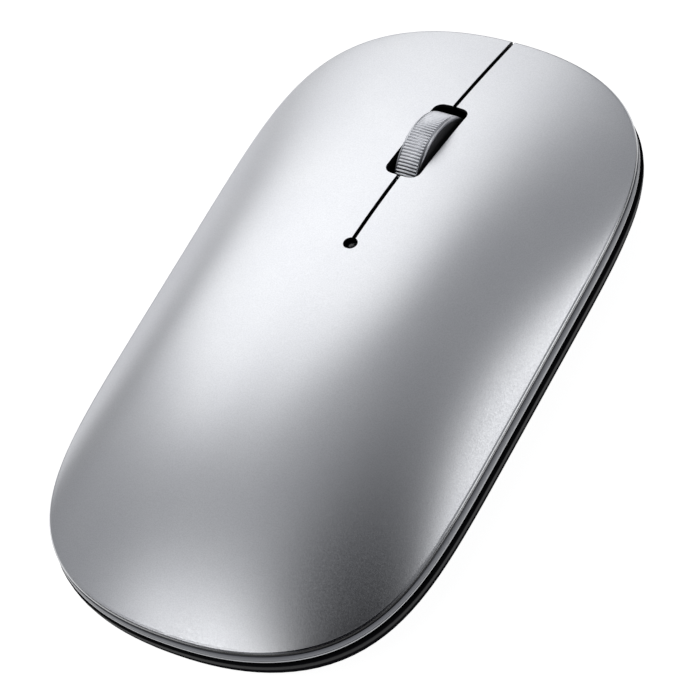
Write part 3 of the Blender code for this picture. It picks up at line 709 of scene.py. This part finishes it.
def add_battery_bay(case):
    """Four walls and a roof round the cells. The end walls and the roof run into the side walls."""
    inner = BAY_HALF_WIDTH - BAY_WALL
    lap = BAY_HALF_WIDTH - 0.5 * BAY_WALL
    roof = BAY_HALF_WIDTH - 0.1
    end_top = BAY_ROOF_Z - 0.1
    walls = (((-BAY_HALF_WIDTH, BAY_REAR_Y, INSIDE_Z), (-inner, BAY_FRONT_Y, BAY_ROOF_Z)),
             ((inner, BAY_REAR_Y, INSIDE_Z), (BAY_HALF_WIDTH, BAY_FRONT_Y, BAY_ROOF_Z)),
             ((-lap, BAY_REAR_Y, INSIDE_Z), (lap, BAY_REAR_Y + BAY_WALL, end_top)),
             ((-lap, BAY_FRONT_Y - BAY_WALL, INSIDE_Z), (lap, BAY_FRONT_Y, end_top)),
             ((-roof, ROOF_REAR_Y, BAY_ROOF_Z - 0.05), (roof, ROOF_FRONT_Y, BAY_ROOF_Z + BAY_WALL)))
    for low, high in walls:
        combine(case, block("bay_wall", low, high), "UNION")


def add_posts(case):
    """Two posts that carry the wheel's carriage, and pillars for the case and board screws."""
    for side in (-1.0, 1.0):
        near, far = sorted((side * POST_INNER_X, side * POST_OUTER_X))
        post = block("wheel_post", (near, PIVOT_Y - POST_HALF_LENGTH, INSIDE_Z),
                     (far, PIVOT_Y + POST_HALF_LENGTH, PIVOT_Z + POST_ABOVE_PIVOT))
        combine(case, post, "UNION")
    reach = POST_OUTER_X + 1.0
    bore = rod("pivot_bore", PIVOT_BORE, (-reach, PIVOT_Y, PIVOT_Z), (reach, PIVOT_Y, PIVOT_Z))
    combine(case, bore, "DIFFERENCE")
    for node in CASE_SCREWS:
        x, y = centre_of(node)
        combine(case, rod("pillar", PILLAR_RADIUS, (x, y, INSIDE_Z), (x, y, PILLAR_TOP_Z)), "UNION")
    for node in BOARD_SCREWS:
        x, y = centre_of(node)
        standoff = rod("standoff", STANDOFF_RADIUS, (x, y, INSIDE_Z), (x, y, STANDOFF_TOP_Z))
        combine(case, standoff, "UNION")
        thread = rod("thread", THREAD_RADIUS, (x, y, THREAD_LOW_Z), (x, y, BORE_TOP_Z))
        combine(case, thread, "DIFFERENCE")


def cut_case_floor(case):
    """Openings in the underside: door, screws, sensor window, button, slider and feet."""
    doorway = block("doorway", (-DOOR_HALF_WIDTH - GAP, -60.0, 0.0),
                    (DOOR_HALF_WIDTH + GAP, DOOR_FRONT + GAP, DOOR_TOP + GAP))
    combine(case, doorway, "DIFFERENCE")
    for node in CASE_SCREWS:
        x, y = centre_of(node)
        counterbore = flared_cutter("counterbore", COUNTERBORE_RADIUS, (x, y), COUNTERBORE_TOP_Z)
        combine(case, counterbore, "DIFFERENCE")
        shank_hole = rod("shank_hole", SHANK_RADIUS, (x, y, 0.0), (x, y, BORE_TOP_Z))
        combine(case, shank_hole, "DIFFERENCE")
    for node, radius in (("optical_sensor", WINDOW_RADIUS), ("pairing_button", PUSH_HOLE_RADIUS)):
        combine(case, flared_cutter("round_hole", radius, centre_of(node), OPENING_TOP_Z), "DIFFERENCE")
    x, y = centre_of("power_switch")
    half_x, half_y = SLIDE_HALF
    slide = flared_pill("slide_slot", (x - half_x, y - half_y), (x + half_x, y + half_y),
                        SLIDE_CORNER, OPENING_TOP_Z)
    combine(case, slide, "DIFFERENCE")
    for node in FEET:
        low, high = node_box_mm(node)
        recess = flared_pill("foot_recess", (low.x - GAP, low.y - GAP), (high.x + GAP, high.y + GAP),
                             FOOT_CORNER + GAP, high.z + GAP)
        combine(case, recess, "DIFFERENCE")


def build_lower_case(looks):
    """The lower case with all that is moulded on it or cut through it."""
    case = case_shell()
    add_battery_bay(case)
    add_posts(case)
    cut_case_floor(case)
    smooth(case, 30.0)
    paint(case, looks["case_plastic"])
    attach(case, "case")
    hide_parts("base_case")


def build_door(looks):
    """Battery door with a rounded tail, softened edges and grip grooves."""
    door = loft("door_panel", bowl(0.0, BASE_Z)[:BOWL_STEPS], cap_start=True, cap_end=True)
    keep = pill("door_outline", (-DOOR_HALF_WIDTH, -70.0), (DOOR_HALF_WIDTH, DOOR_FRONT), 0.9,
                ((0.25, BASE_Z - 0.01), (0.0, BASE_Z + 0.24), (0.0, DOOR_TOP)))
    combine(door, keep, "INTERSECT")
    for step in range(GRIP_COUNT):
        y = GRIP_FRONT_Y - GRIP_PITCH * step
        half = GRIP_HALF_LENGTH - GRIP_TAPER * step
        groove = pill("grip_groove", (-half, y - GRIP_HALF_WIDTH), (half, y + GRIP_HALF_WIDTH),
                      GRIP_HALF_WIDTH - 0.01,
                      ((-0.2, 0.0), (-0.2, BASE_Z), (0.2, BASE_Z + 0.35)))
        combine(door, groove, "DIFFERENCE")
    smooth(door, 30.0)
    paint(door, looks["door_plastic"])
    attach(door, "door")
    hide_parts("battery_door")


def build_feet(looks):
    """Low-friction feet with rounded lower edges."""
    for node in FEET:
        low, high = node_box_mm(node)
        levels = ((0.45, 0.0), (0.18, 0.06), (0.04, 0.2), (0.0, 0.36), (0.0, high.z))
        foot = pill(node.replace("foot", "glide"), low, high, FOOT_CORNER, levels)
        smooth(foot, 40.0)
        paint(foot, looks["glide"])
        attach(foot, "case")
        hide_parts(node)


def recess_arm(x, y, turn):
    """One arm of a cross recess: a bar that tapers upwards into the head of a screw."""
    spin = Matrix.Rotation(math.radians(turn), 3, "Z")
    rings = []
    for reach, half, z in RECESS_ENDS:
        corners = ((-reach, -half, z), (reach, -half, z), (reach, half, z), (-reach, half, z))
        rings.append([spin @ Vector(corner) + Vector((x, y, 0.0)) for corner in corners])
    return loft("cross_recess", rings, cap_start=True, cap_end=True)


def build_screws(looks):
    """Pan-head screws with a tapered cross recess, head down."""
    for node in CASE_SCREWS:
        x, y = centre_of(node)
        screw = lathe(node + "_turned", SCREW_PROFILE, (x, y, 0.0), "Z", 40)
        for turn in RECESS_TURNS:
            combine(screw, recess_arm(x, y, turn), "DIFFERENCE")
        smooth(screw, 30.0)
        paint(screw, looks["steel"])
        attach(screw, "case")
        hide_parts(node)


def build_controls(looks):
    """Power slider with raised ridges, and a dished pairing button."""
    low, high = node_box_mm("power_knob")
    knob = pill("power_slider_cap", low, high, 0.35,
                ((0.12, low.z), (0.0, low.z + 0.12), (0.0, high.z)))
    middle = (low.y + high.y) / 2.0
    for step in range(-2, 3):
        y = middle + RIDGE_PITCH * step
        groove = block("ridge_gap", (low.x - 1.0, y - 0.5 * RIDGE_GAP, low.z - 1.0),
                       (high.x + 1.0, y + 0.5 * RIDGE_GAP, low.z + RIDGE_GAP))
        combine(knob, groove, "DIFFERENCE")
    smooth(knob, 30.0)
    x, y = centre_of("pairing_button")
    button = lathe("pairing_cap_turned", CAP_PROFILE, (x, y, 0.0), "Z", 48)
    smooth(button, 30.0)
    for obj, body, node in ((knob, "power_slider", "power_knob"),
                            (button, "pairing_cap", "pairing_button")):
        paint(obj, looks["controls"])
        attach(obj, body)
        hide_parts(node)


# ----- materials

def start_material(name, roughness, metallic):
    """A new material with its node tree and its shader node."""
    material = bpy.data.materials.new(name)
    material.use_nodes = True
    shader = material.node_tree.nodes["Principled BSDF"]
    shader.inputs["Roughness"].default_value = roughness
    shader.inputs["Metallic"].default_value = metallic
    return material, material.node_tree, shader


def noise(tree, grain, detail=2.0, stretch=(1.0, 1.0, 1.0)):
    """Noise whose features are about grain millimetres across, longer where stretch is small."""
    place = tree.nodes.new("ShaderNodeTexCoord")
    mapping = tree.nodes.new("ShaderNodeMapping")
    mapping.inputs["Scale"].default_value = stretch
    texture = tree.nodes.new("ShaderNodeTexNoise")
    texture.inputs["Scale"].default_value = 1.0 / (grain * MM)
    texture.inputs["Detail"].default_value = detail
    tree.links.new(place.outputs["Object"], mapping.inputs["Vector"])
    tree.links.new(mapping.outputs["Vector"], texture.inputs["Vector"])
    return texture.outputs["Fac"]


def place_axes(tree):
    """The place on the piece, in metres, as separate X, Y and Z outputs."""
    place = tree.nodes.new("ShaderNodeTexCoord")
    split = tree.nodes.new("ShaderNodeSeparateXYZ")
    tree.links.new(place.outputs["Object"], split.inputs["Vector"])
    return split.outputs


def math_of(tree, operation, first, second):
    node = tree.nodes.new("ShaderNodeMath")
    node.operation = operation
    tree.links.new(first, node.inputs[0])
    tree.links.new(second, node.inputs[1])
    return node.outputs["Value"]


def colour_product(tree, first, second):
    node = tree.nodes.new("ShaderNodeMix")
    node.data_type = "RGBA"
    node.blend_type = "MULTIPLY"
    node.inputs["Factor"].default_value = 1.0
    tree.links.new(first, node.inputs["A"])
    tree.links.new(second, node.inputs["B"])
    return node.outputs["Result"]


def remap(tree, value, low, high, start=0.3, end=0.7):
    """A value that goes evenly from low to high while the given one goes from start to end."""
    node = tree.nodes.new("ShaderNodeMapRange")
    node.inputs["From Min"].default_value = start
    node.inputs["From Max"].default_value = end
    node.inputs["To Min"].default_value = low
    node.inputs["To Max"].default_value = high
    tree.links.new(value, node.inputs["Value"])
    return node.outputs["Result"]


def two_tone(tree, value, dark, light):
    """A colour between dark and light that follows a value."""
    ramp = tree.nodes.new("ShaderNodeValToRGB")
    ramp.color_ramp.elements[0].position = 0.32
    ramp.color_ramp.elements[0].color = (*dark, 1.0)
    ramp.color_ramp.elements[1].position = 0.68
    ramp.color_ramp.elements[1].color = (*light, 1.0)
    tree.links.new(value, ramp.inputs["Fac"])
    return ramp.outputs["Color"]


def bump(tree, shader, value, height):
    """Relief up to height millimetres high that follows a value."""
    node = tree.nodes.new("ShaderNodeBump")
    node.inputs["Strength"].default_value = 1.0
    node.inputs["Distance"].default_value = height * MM
    tree.links.new(value, node.inputs["Height"])
    tree.links.new(node.outputs["Normal"], shader.inputs["Normal"])


def grained(name, dark, light, roughness, grain, height, metallic=0.0, stretch=(1.0, 1.0, 1.0),
            cloud=6.0, shine=0.5):
    """A finish with broad colour clouds, uneven gloss and a fine surface grain."""
    material, tree, shader = start_material(name, roughness[0], metallic)
    shader.inputs["Specular IOR Level"].default_value = shine
    broad = noise(tree, cloud, 3.0)
    fine = noise(tree, grain, 2.0, stretch)
    tree.links.new(two_tone(tree, broad, dark, light), shader.inputs["Base Color"])
    tree.links.new(remap(tree, fine, *roughness), shader.inputs["Roughness"])
    bump(tree, shader, fine, height)
    return material


def blasted_metal():
    """Bead-blasted, clear-anodised aluminium: fine sparkle over a soft, even sheen."""
    material, tree, shader = start_material("blasted_aluminium", 0.36, 1.0)
    shader.inputs["Specular Tint"].default_value = (0.57, 0.57, 0.59, 1.0)
    broad = noise(tree, 9.0, 3.0)
    sparkle = noise(tree, 0.16, 1.0)
    pits = noise(tree, 0.28, 2.0)
    clouds = two_tone(tree, broad, (0.78, 0.79, 0.815), (0.8, 0.81, 0.83))
    specks = two_tone(tree, sparkle, (0.9, 0.9, 0.9), (1.0, 1.0, 1.0))
    tree.links.new(colour_product(tree, clouds, specks), shader.inputs["Base Color"])
    tree.links.new(remap(tree, pits, 0.33, 0.39), shader.inputs["Roughness"])
    bump(tree, shader, sparkle, 0.004)
    return material


def satin_rim_painted_reflection():
    """Brushed aluminium of the side band, with painted reflection: its colour lightens from the top edge to
    the lower lip.
    """
    material, tree, shader = start_material("satin_rim_painted_reflection", 0.32, 1.0)
    # Painted reflection: the colour ramp by height runs from a pale lower lip to a dark top edge, darker
    # overall than the metal, in place of light that the band reflects.
    ramp = tree.nodes.new("ShaderNodeValToRGB")
    ramp.color_ramp.elements[0].color = (0.42, 0.425, 0.44, 1.0)
    ramp.color_ramp.elements[1].color = (0.1, 0.103, 0.115, 1.0)
    middle = ramp.color_ramp.elements.new(0.4)
    middle.color = (0.165, 0.17, 0.185, 1.0)
    height = remap(tree, place_axes(tree)["Z"], 0.0, 1.0, 8.5 * MM, 9.7 * MM)
    tree.links.new(height, ramp.inputs["Fac"])
    fine = noise(tree, 0.14, 2.0, (0.06, 0.06, 1.0))
    streaks = two_tone(tree, fine, (0.85, 0.85, 0.85), (1.0, 1.0, 1.0))
    tree.links.new(colour_product(tree, ramp.outputs["Color"], streaks), shader.inputs["Base Color"])
    tree.links.new(remap(tree, fine, 0.26, 0.4), shader.inputs["Roughness"])
    bump(tree, shader, fine, 0.004)
    return material


def cell_wrap():
    """Blank printed film of a battery cell: a dark sleeve with a pale band near its end."""
    material, tree, shader = start_material("cell_film", 0.3, 0.0)
    band = remap(tree, place_axes(tree)["Y"], 0.0, 1.0, -11.2 * MM, -10.8 * MM)
    sleeve = two_tone(tree, band, (0.05, 0.055, 0.065), (0.62, 0.6, 0.56))
    tree.links.new(sleeve, shader.inputs["Base Color"])
    fine = noise(tree, 0.6, 2.0)
    tree.links.new(remap(tree, fine, 0.24, 0.36), shader.inputs["Roughness"])
    bump(tree, shader, fine, 0.004)
    return material


def laminate():
    """Green solder mask over copper tracks, drawn as a fine cell pattern."""
    material, tree, shader = start_material("board_laminate", 0.35, 0.0)
    place = tree.nodes.new("ShaderNodeTexCoord")
    tracks = tree.nodes.new("ShaderNodeTexVoronoi")
    tracks.feature = "DISTANCE_TO_EDGE"
    tracks.distance = "CHEBYCHEV"
    tracks.inputs["Scale"].default_value = 1.0 / (2.6 * MM)
    tree.links.new(place.outputs["Object"], tracks.inputs["Vector"])
    line = remap(tree, tracks.outputs["Distance"], 1.0, 0.0, 0.03, 0.07)
    mask = two_tone(tree, line, (0.006, 0.07, 0.028), (0.02, 0.16, 0.06))
    tree.links.new(mask, shader.inputs["Base Color"])
    fine = noise(tree, 0.3, 2.0)
    tree.links.new(remap(tree, fine, 0.28, 0.4), shader.inputs["Roughness"])
    bump(tree, shader, line, 0.02)
    return material


def moulded_case():
    """Matt black resin with a painted sheen: a band of coat along the upright rim draws a highlight line,
    and more coat lies underneath.
    """
    material, tree, shader = start_material("case_resin", 0.5, 0.0)
    shader.inputs["Specular IOR Level"].default_value = 0.0
    shader.inputs["Coat Roughness"].default_value = 0.42
    height = place_axes(tree)["Z"]
    # Painted highlight: coat laid on in a band by height along the upright rim.
    rise = remap(tree, height, 0.0, 0.4, 6.3 * MM, 6.7 * MM)
    fall = remap(tree, height, 1.0, 0.0, 7.2 * MM, 7.4 * MM)
    under = remap(tree, height, 0.9, 0.0, 1.6 * MM, 2.8 * MM)
    painted_sheen_band = math_of(tree, "MULTIPLY", rise, fall)
    tree.links.new(math_of(tree, "ADD", painted_sheen_band, under), shader.inputs["Coat Weight"])
    cloud = noise(tree, 6.0, 3.0)
    tree.links.new(two_tone(tree, cloud, (0.004, 0.004, 0.005), (0.007, 0.007, 0.008)),
                   shader.inputs["Base Color"])
    fine = noise(tree, 0.35, 2.0)
    tree.links.new(remap(tree, fine, 0.34, 0.5), shader.inputs["Roughness"])
    bump(tree, shader, fine, 0.01)
    return material


def clear_lens():
    """Clear moulded optics, faintly cloudy."""
    material, tree, shader = start_material("clear_optics", 0.08, 0.0)
    shader.inputs["Transmission Weight"].default_value = 0.85
    shader.inputs["IOR"].default_value = 1.49
    cloud = noise(tree, 3.0, 2.0)
    tint = two_tone(tree, cloud, (0.72, 0.78, 0.84), (0.8, 0.85, 0.9))
    tree.links.new(tint, shader.inputs["Base Color"])
    tree.links.new(remap(tree, cloud, 0.05, 0.12), shader.inputs["Roughness"])
    return material


def build_looks():
    """One procedural material for each of the record's slots, and three for the rim."""
    brushed = (0.06, 0.06, 1.0)
    return {
        "blasted_metal": blasted_metal(),
        "polished_edge": grained("polished_edge", (0.54, 0.545, 0.56), (0.6, 0.605, 0.62),
            (0.14, 0.22), 0.25, 0.001, 1.0, brushed),
        "satin_rim_painted_reflection": satin_rim_painted_reflection(),
        # Black for the inside and the cut edges, and painted shade in the rim's groove.
        "black_and_painted_shade": grained("black_faces_and_painted_shade", (0.003, 0.003, 0.004), (0.006, 0.006, 0.007), (0.5, 0.65), 0.3,
            0.004, shine=0.3),
        "wheel_metal": grained("wheel_metal", (0.56, 0.57, 0.6), (0.64, 0.65, 0.68), (0.28, 0.38), 0.3,
            0.001, 1.0, (1.0, 0.2, 0.2), 2.0),
        "case_plastic": moulded_case(),
        "door_plastic": grained("door_plastic", (0.018, 0.018, 0.02), (0.027, 0.027, 0.03), (0.42, 0.58),
            0.35, 0.02),
        "frame_plastic": grained("frame_plastic", (0.012, 0.012, 0.013), (0.02, 0.02, 0.021), (0.5, 0.65),
            0.4, 0.015),
        "key_carrier": grained("key_carrier", (0.008, 0.008, 0.009), (0.014, 0.014, 0.015), (0.55, 0.7),
            0.4, 0.015),
        "wheel_core": grained("wheel_core_plastic", (0.13, 0.13, 0.14), (0.17, 0.17, 0.18), (0.3, 0.42),
            0.3, 0.008),
        "mechanism": grained("mechanism_plastic", (0.02, 0.02, 0.022), (0.03, 0.03, 0.033), (0.4, 0.55),
            0.5, 0.01),
        "steel": grained("plated_steel", (0.5, 0.51, 0.53), (0.62, 0.63, 0.65), (0.18, 0.34), 0.35,
            0.004, 1.0),
        "contacts": grained("nickel_contacts", (0.68, 0.64, 0.54), (0.8, 0.77, 0.68), (0.2, 0.36), 0.5,
            0.004, 1.0),
        "laminate": laminate(),
        "chip": grained("chip_resin", (0.02, 0.02, 0.021), (0.035, 0.035, 0.036), (0.42, 0.6), 0.2, 0.006),
        "capacitor_sleeve": grained("capacitor_sleeve", (0.03, 0.045, 0.1), (0.05, 0.07, 0.15),
            (0.22, 0.34), 0.5, 0.004),
        "switch_body": grained("switch_resin", (0.03, 0.03, 0.033), (0.05, 0.05, 0.054), (0.4, 0.55),
            0.3, 0.008),
        "plunger": grained("plunger_resin", (0.66, 0.65, 0.61), (0.78, 0.77, 0.73), (0.3, 0.42), 0.4, 0.006),
        "lens": clear_lens(),
        "smoked": grained("smoked_lens", (0.004, 0.004, 0.005), (0.008, 0.008, 0.009), (0.08, 0.16), 0.6,
            0.002),
        "cell_wrap": cell_wrap(),
        "controls": grained("control_resin", (0.1, 0.1, 0.105), (0.15, 0.15, 0.155), (0.4, 0.55),
            0.3, 0.012),
        "glide": grained("glide_sheet", (0.045, 0.045, 0.05), (0.07, 0.07, 0.076), (0.22, 0.36), 0.5, 0.006,
            0.0, (1.0, 0.25, 1.0)),
    }


def dress_frame(frame, looks):
    """Give every CAD node the material of its slot."""
    for part in frame["record"]["subparts"]:
        node = frame["nodes"][part["node"]]
        node.data.materials.clear()
        node.data.materials.append(looks[part["material_slot"]])


# ----- floor, light and camera

def direction(azimuth, elevation):
    """Unit vector; azimuth is measured from +Y towards +X."""
    a, e = math.radians(azimuth), math.radians(elevation)
    return Vector((math.sin(a) * math.cos(e), math.cos(a) * math.cos(e), math.sin(e)))


def build_floor():
    """A pale floor that gives off light near the mouse, less and less further away."""
    corners = ((-FLOOR_HALF, -FLOOR_HALF, 0.0), (FLOOR_HALF, -FLOOR_HALF, 0.0),
               (FLOOR_HALF, FLOOR_HALF, 0.0), (-FLOOR_HALF, FLOOR_HALF, 0.0))
    work = bmesh.new()
    work.faces.new([work.verts.new(corner) for corner in corners])
    mesh = bpy.data.meshes.new("studio_floor")
    work.to_mesh(mesh)
    work.free()
    floor = new_object("studio_floor", mesh)
    material, tree, shader = start_material("pale_floor", 0.9, 0.0)
    shader.inputs["Base Color"].default_value = (0.5, 0.5, 0.5, 1.0)
    shader.inputs["Specular IOR Level"].default_value = 0.0
    shader.inputs["Emission Color"].default_value = (1.0, 1.0, 1.0, 1.0)
    place = tree.nodes.new("ShaderNodeTexCoord")
    reach = tree.nodes.new("ShaderNodeVectorMath")
    reach.operation = "LENGTH"
    tree.links.new(place.outputs["Object"], reach.inputs[0])
    glow = remap(tree, reach.outputs["Value"], GLOW_NEAR, GLOW_FAR, GLOW_START, GLOW_END)
    tree.links.new(glow, shader.inputs["Emission Strength"])
    mesh.materials.append(material)


def soft_box(name, azimuth, elevation, distance, width, height, watts):
    """A rectangular panel light that faces the mouse."""
    light = bpy.data.lights.new(name, "AREA")
    light.shape = "RECTANGLE"
    light.size = width
    light.size_y = height
    light.energy = watts
    lamp = bpy.data.objects.new(name, light)
    bpy.context.scene.collection.objects.link(lamp)
    towards = direction(azimuth, elevation)
    lamp.location = towards * distance
    lamp.rotation_euler = towards.to_track_quat("Z", "Y").to_euler()
    lamp.visible_camera = False


def build_world():
    """Even studio light with a dim patch at the side and a dim horizon."""
    world = bpy.data.worlds.new("studio")
    bpy.context.scene.world = world
    world.use_nodes = True
    tree = world.node_tree
    background = tree.nodes["Background"]
    place = tree.nodes.new("ShaderNodeTexCoord")
    dot = tree.nodes.new("ShaderNodeVectorMath")
    dot.operation = "DOT_PRODUCT"
    dot.inputs[1].default_value = direction(*DIM_PATCH)
    tree.links.new(place.outputs["Generated"], dot.inputs[0])
    ramp = tree.nodes.new("ShaderNodeValToRGB")
    ramp.color_ramp.interpolation = "EASE"
    ramp.color_ramp.elements[0].position = 0.6
    ramp.color_ramp.elements[0].color = (0.305, 0.31, 0.325, 1.0)
    ramp.color_ramp.elements[1].position = 0.82
    ramp.color_ramp.elements[1].color = (0.004, 0.004, 0.006, 1.0)
    tree.links.new(dot.outputs["Value"], ramp.inputs["Fac"])
    tree.links.new(ramp.outputs["Color"], background.inputs["Color"])
    split = tree.nodes.new("ShaderNodeSeparateXYZ")
    tree.links.new(place.outputs["Generated"], split.inputs["Vector"])
    tree.links.new(remap(tree, split.outputs["Z"], 0.15, 1.0, 0.04, 0.22), background.inputs["Strength"])


def build_lights():
    build_world()
    for panel in PANELS:
        soft_box(*panel)


def build_camera():
    """The camera looks down on the mouse from behind and to the right, with its frame rolled."""
    camera = bpy.data.cameras.new("camera")
    camera.lens = CAMERA_LENS
    camera.sensor_width = 36.0
    camera.clip_start = 0.01
    camera.clip_end = 50.0
    holder = bpy.data.objects.new("camera", camera)
    bpy.context.scene.collection.objects.link(holder)
    a, e, roll = (math.radians(v) for v in (CAMERA_AZIMUTH, CAMERA_ELEVATION, CAMERA_ROLL))
    back = Vector((math.sin(a) * math.cos(e), -math.cos(a) * math.cos(e), math.sin(e)))
    right = Vector((math.cos(a), math.sin(a), 0.0))
    up = back.cross(right)
    eye = AIM + back * CAMERA_DISTANCE
    target = AIM + right * AIM_RIGHT + up * AIM_UP
    axis_z = (eye - target).normalized()
    rolled_up = right * math.sin(roll) + up * math.cos(roll)
    axis_x = rolled_up.cross(axis_z).normalized()
    axis_y = axis_z.cross(axis_x)
    turn = Matrix((axis_x, axis_y, axis_z)).transposed().to_4x4()
    holder.matrix_world = Matrix.Translation(eye * MM) @ turn
    bpy.context.scene.camera = holder


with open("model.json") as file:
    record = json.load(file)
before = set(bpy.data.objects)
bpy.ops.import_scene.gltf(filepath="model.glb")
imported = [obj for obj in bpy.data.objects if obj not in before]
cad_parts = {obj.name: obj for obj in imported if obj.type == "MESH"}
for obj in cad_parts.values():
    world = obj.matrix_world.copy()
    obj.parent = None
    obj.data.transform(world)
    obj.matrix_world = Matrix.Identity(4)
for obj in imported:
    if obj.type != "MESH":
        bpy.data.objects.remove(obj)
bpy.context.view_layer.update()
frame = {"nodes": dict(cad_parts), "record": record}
looks = build_looks()
dress_frame(frame, looks)
build_metal_top(looks)
build_wheel(looks)
build_indicator(looks)
build_lower_case(looks)
build_door(looks)
build_feet(looks)
build_screws(looks)
build_controls(looks)
build_floor()
build_lights()
build_camera()
bpy.context.scene.view_settings.view_transform = "Standard"
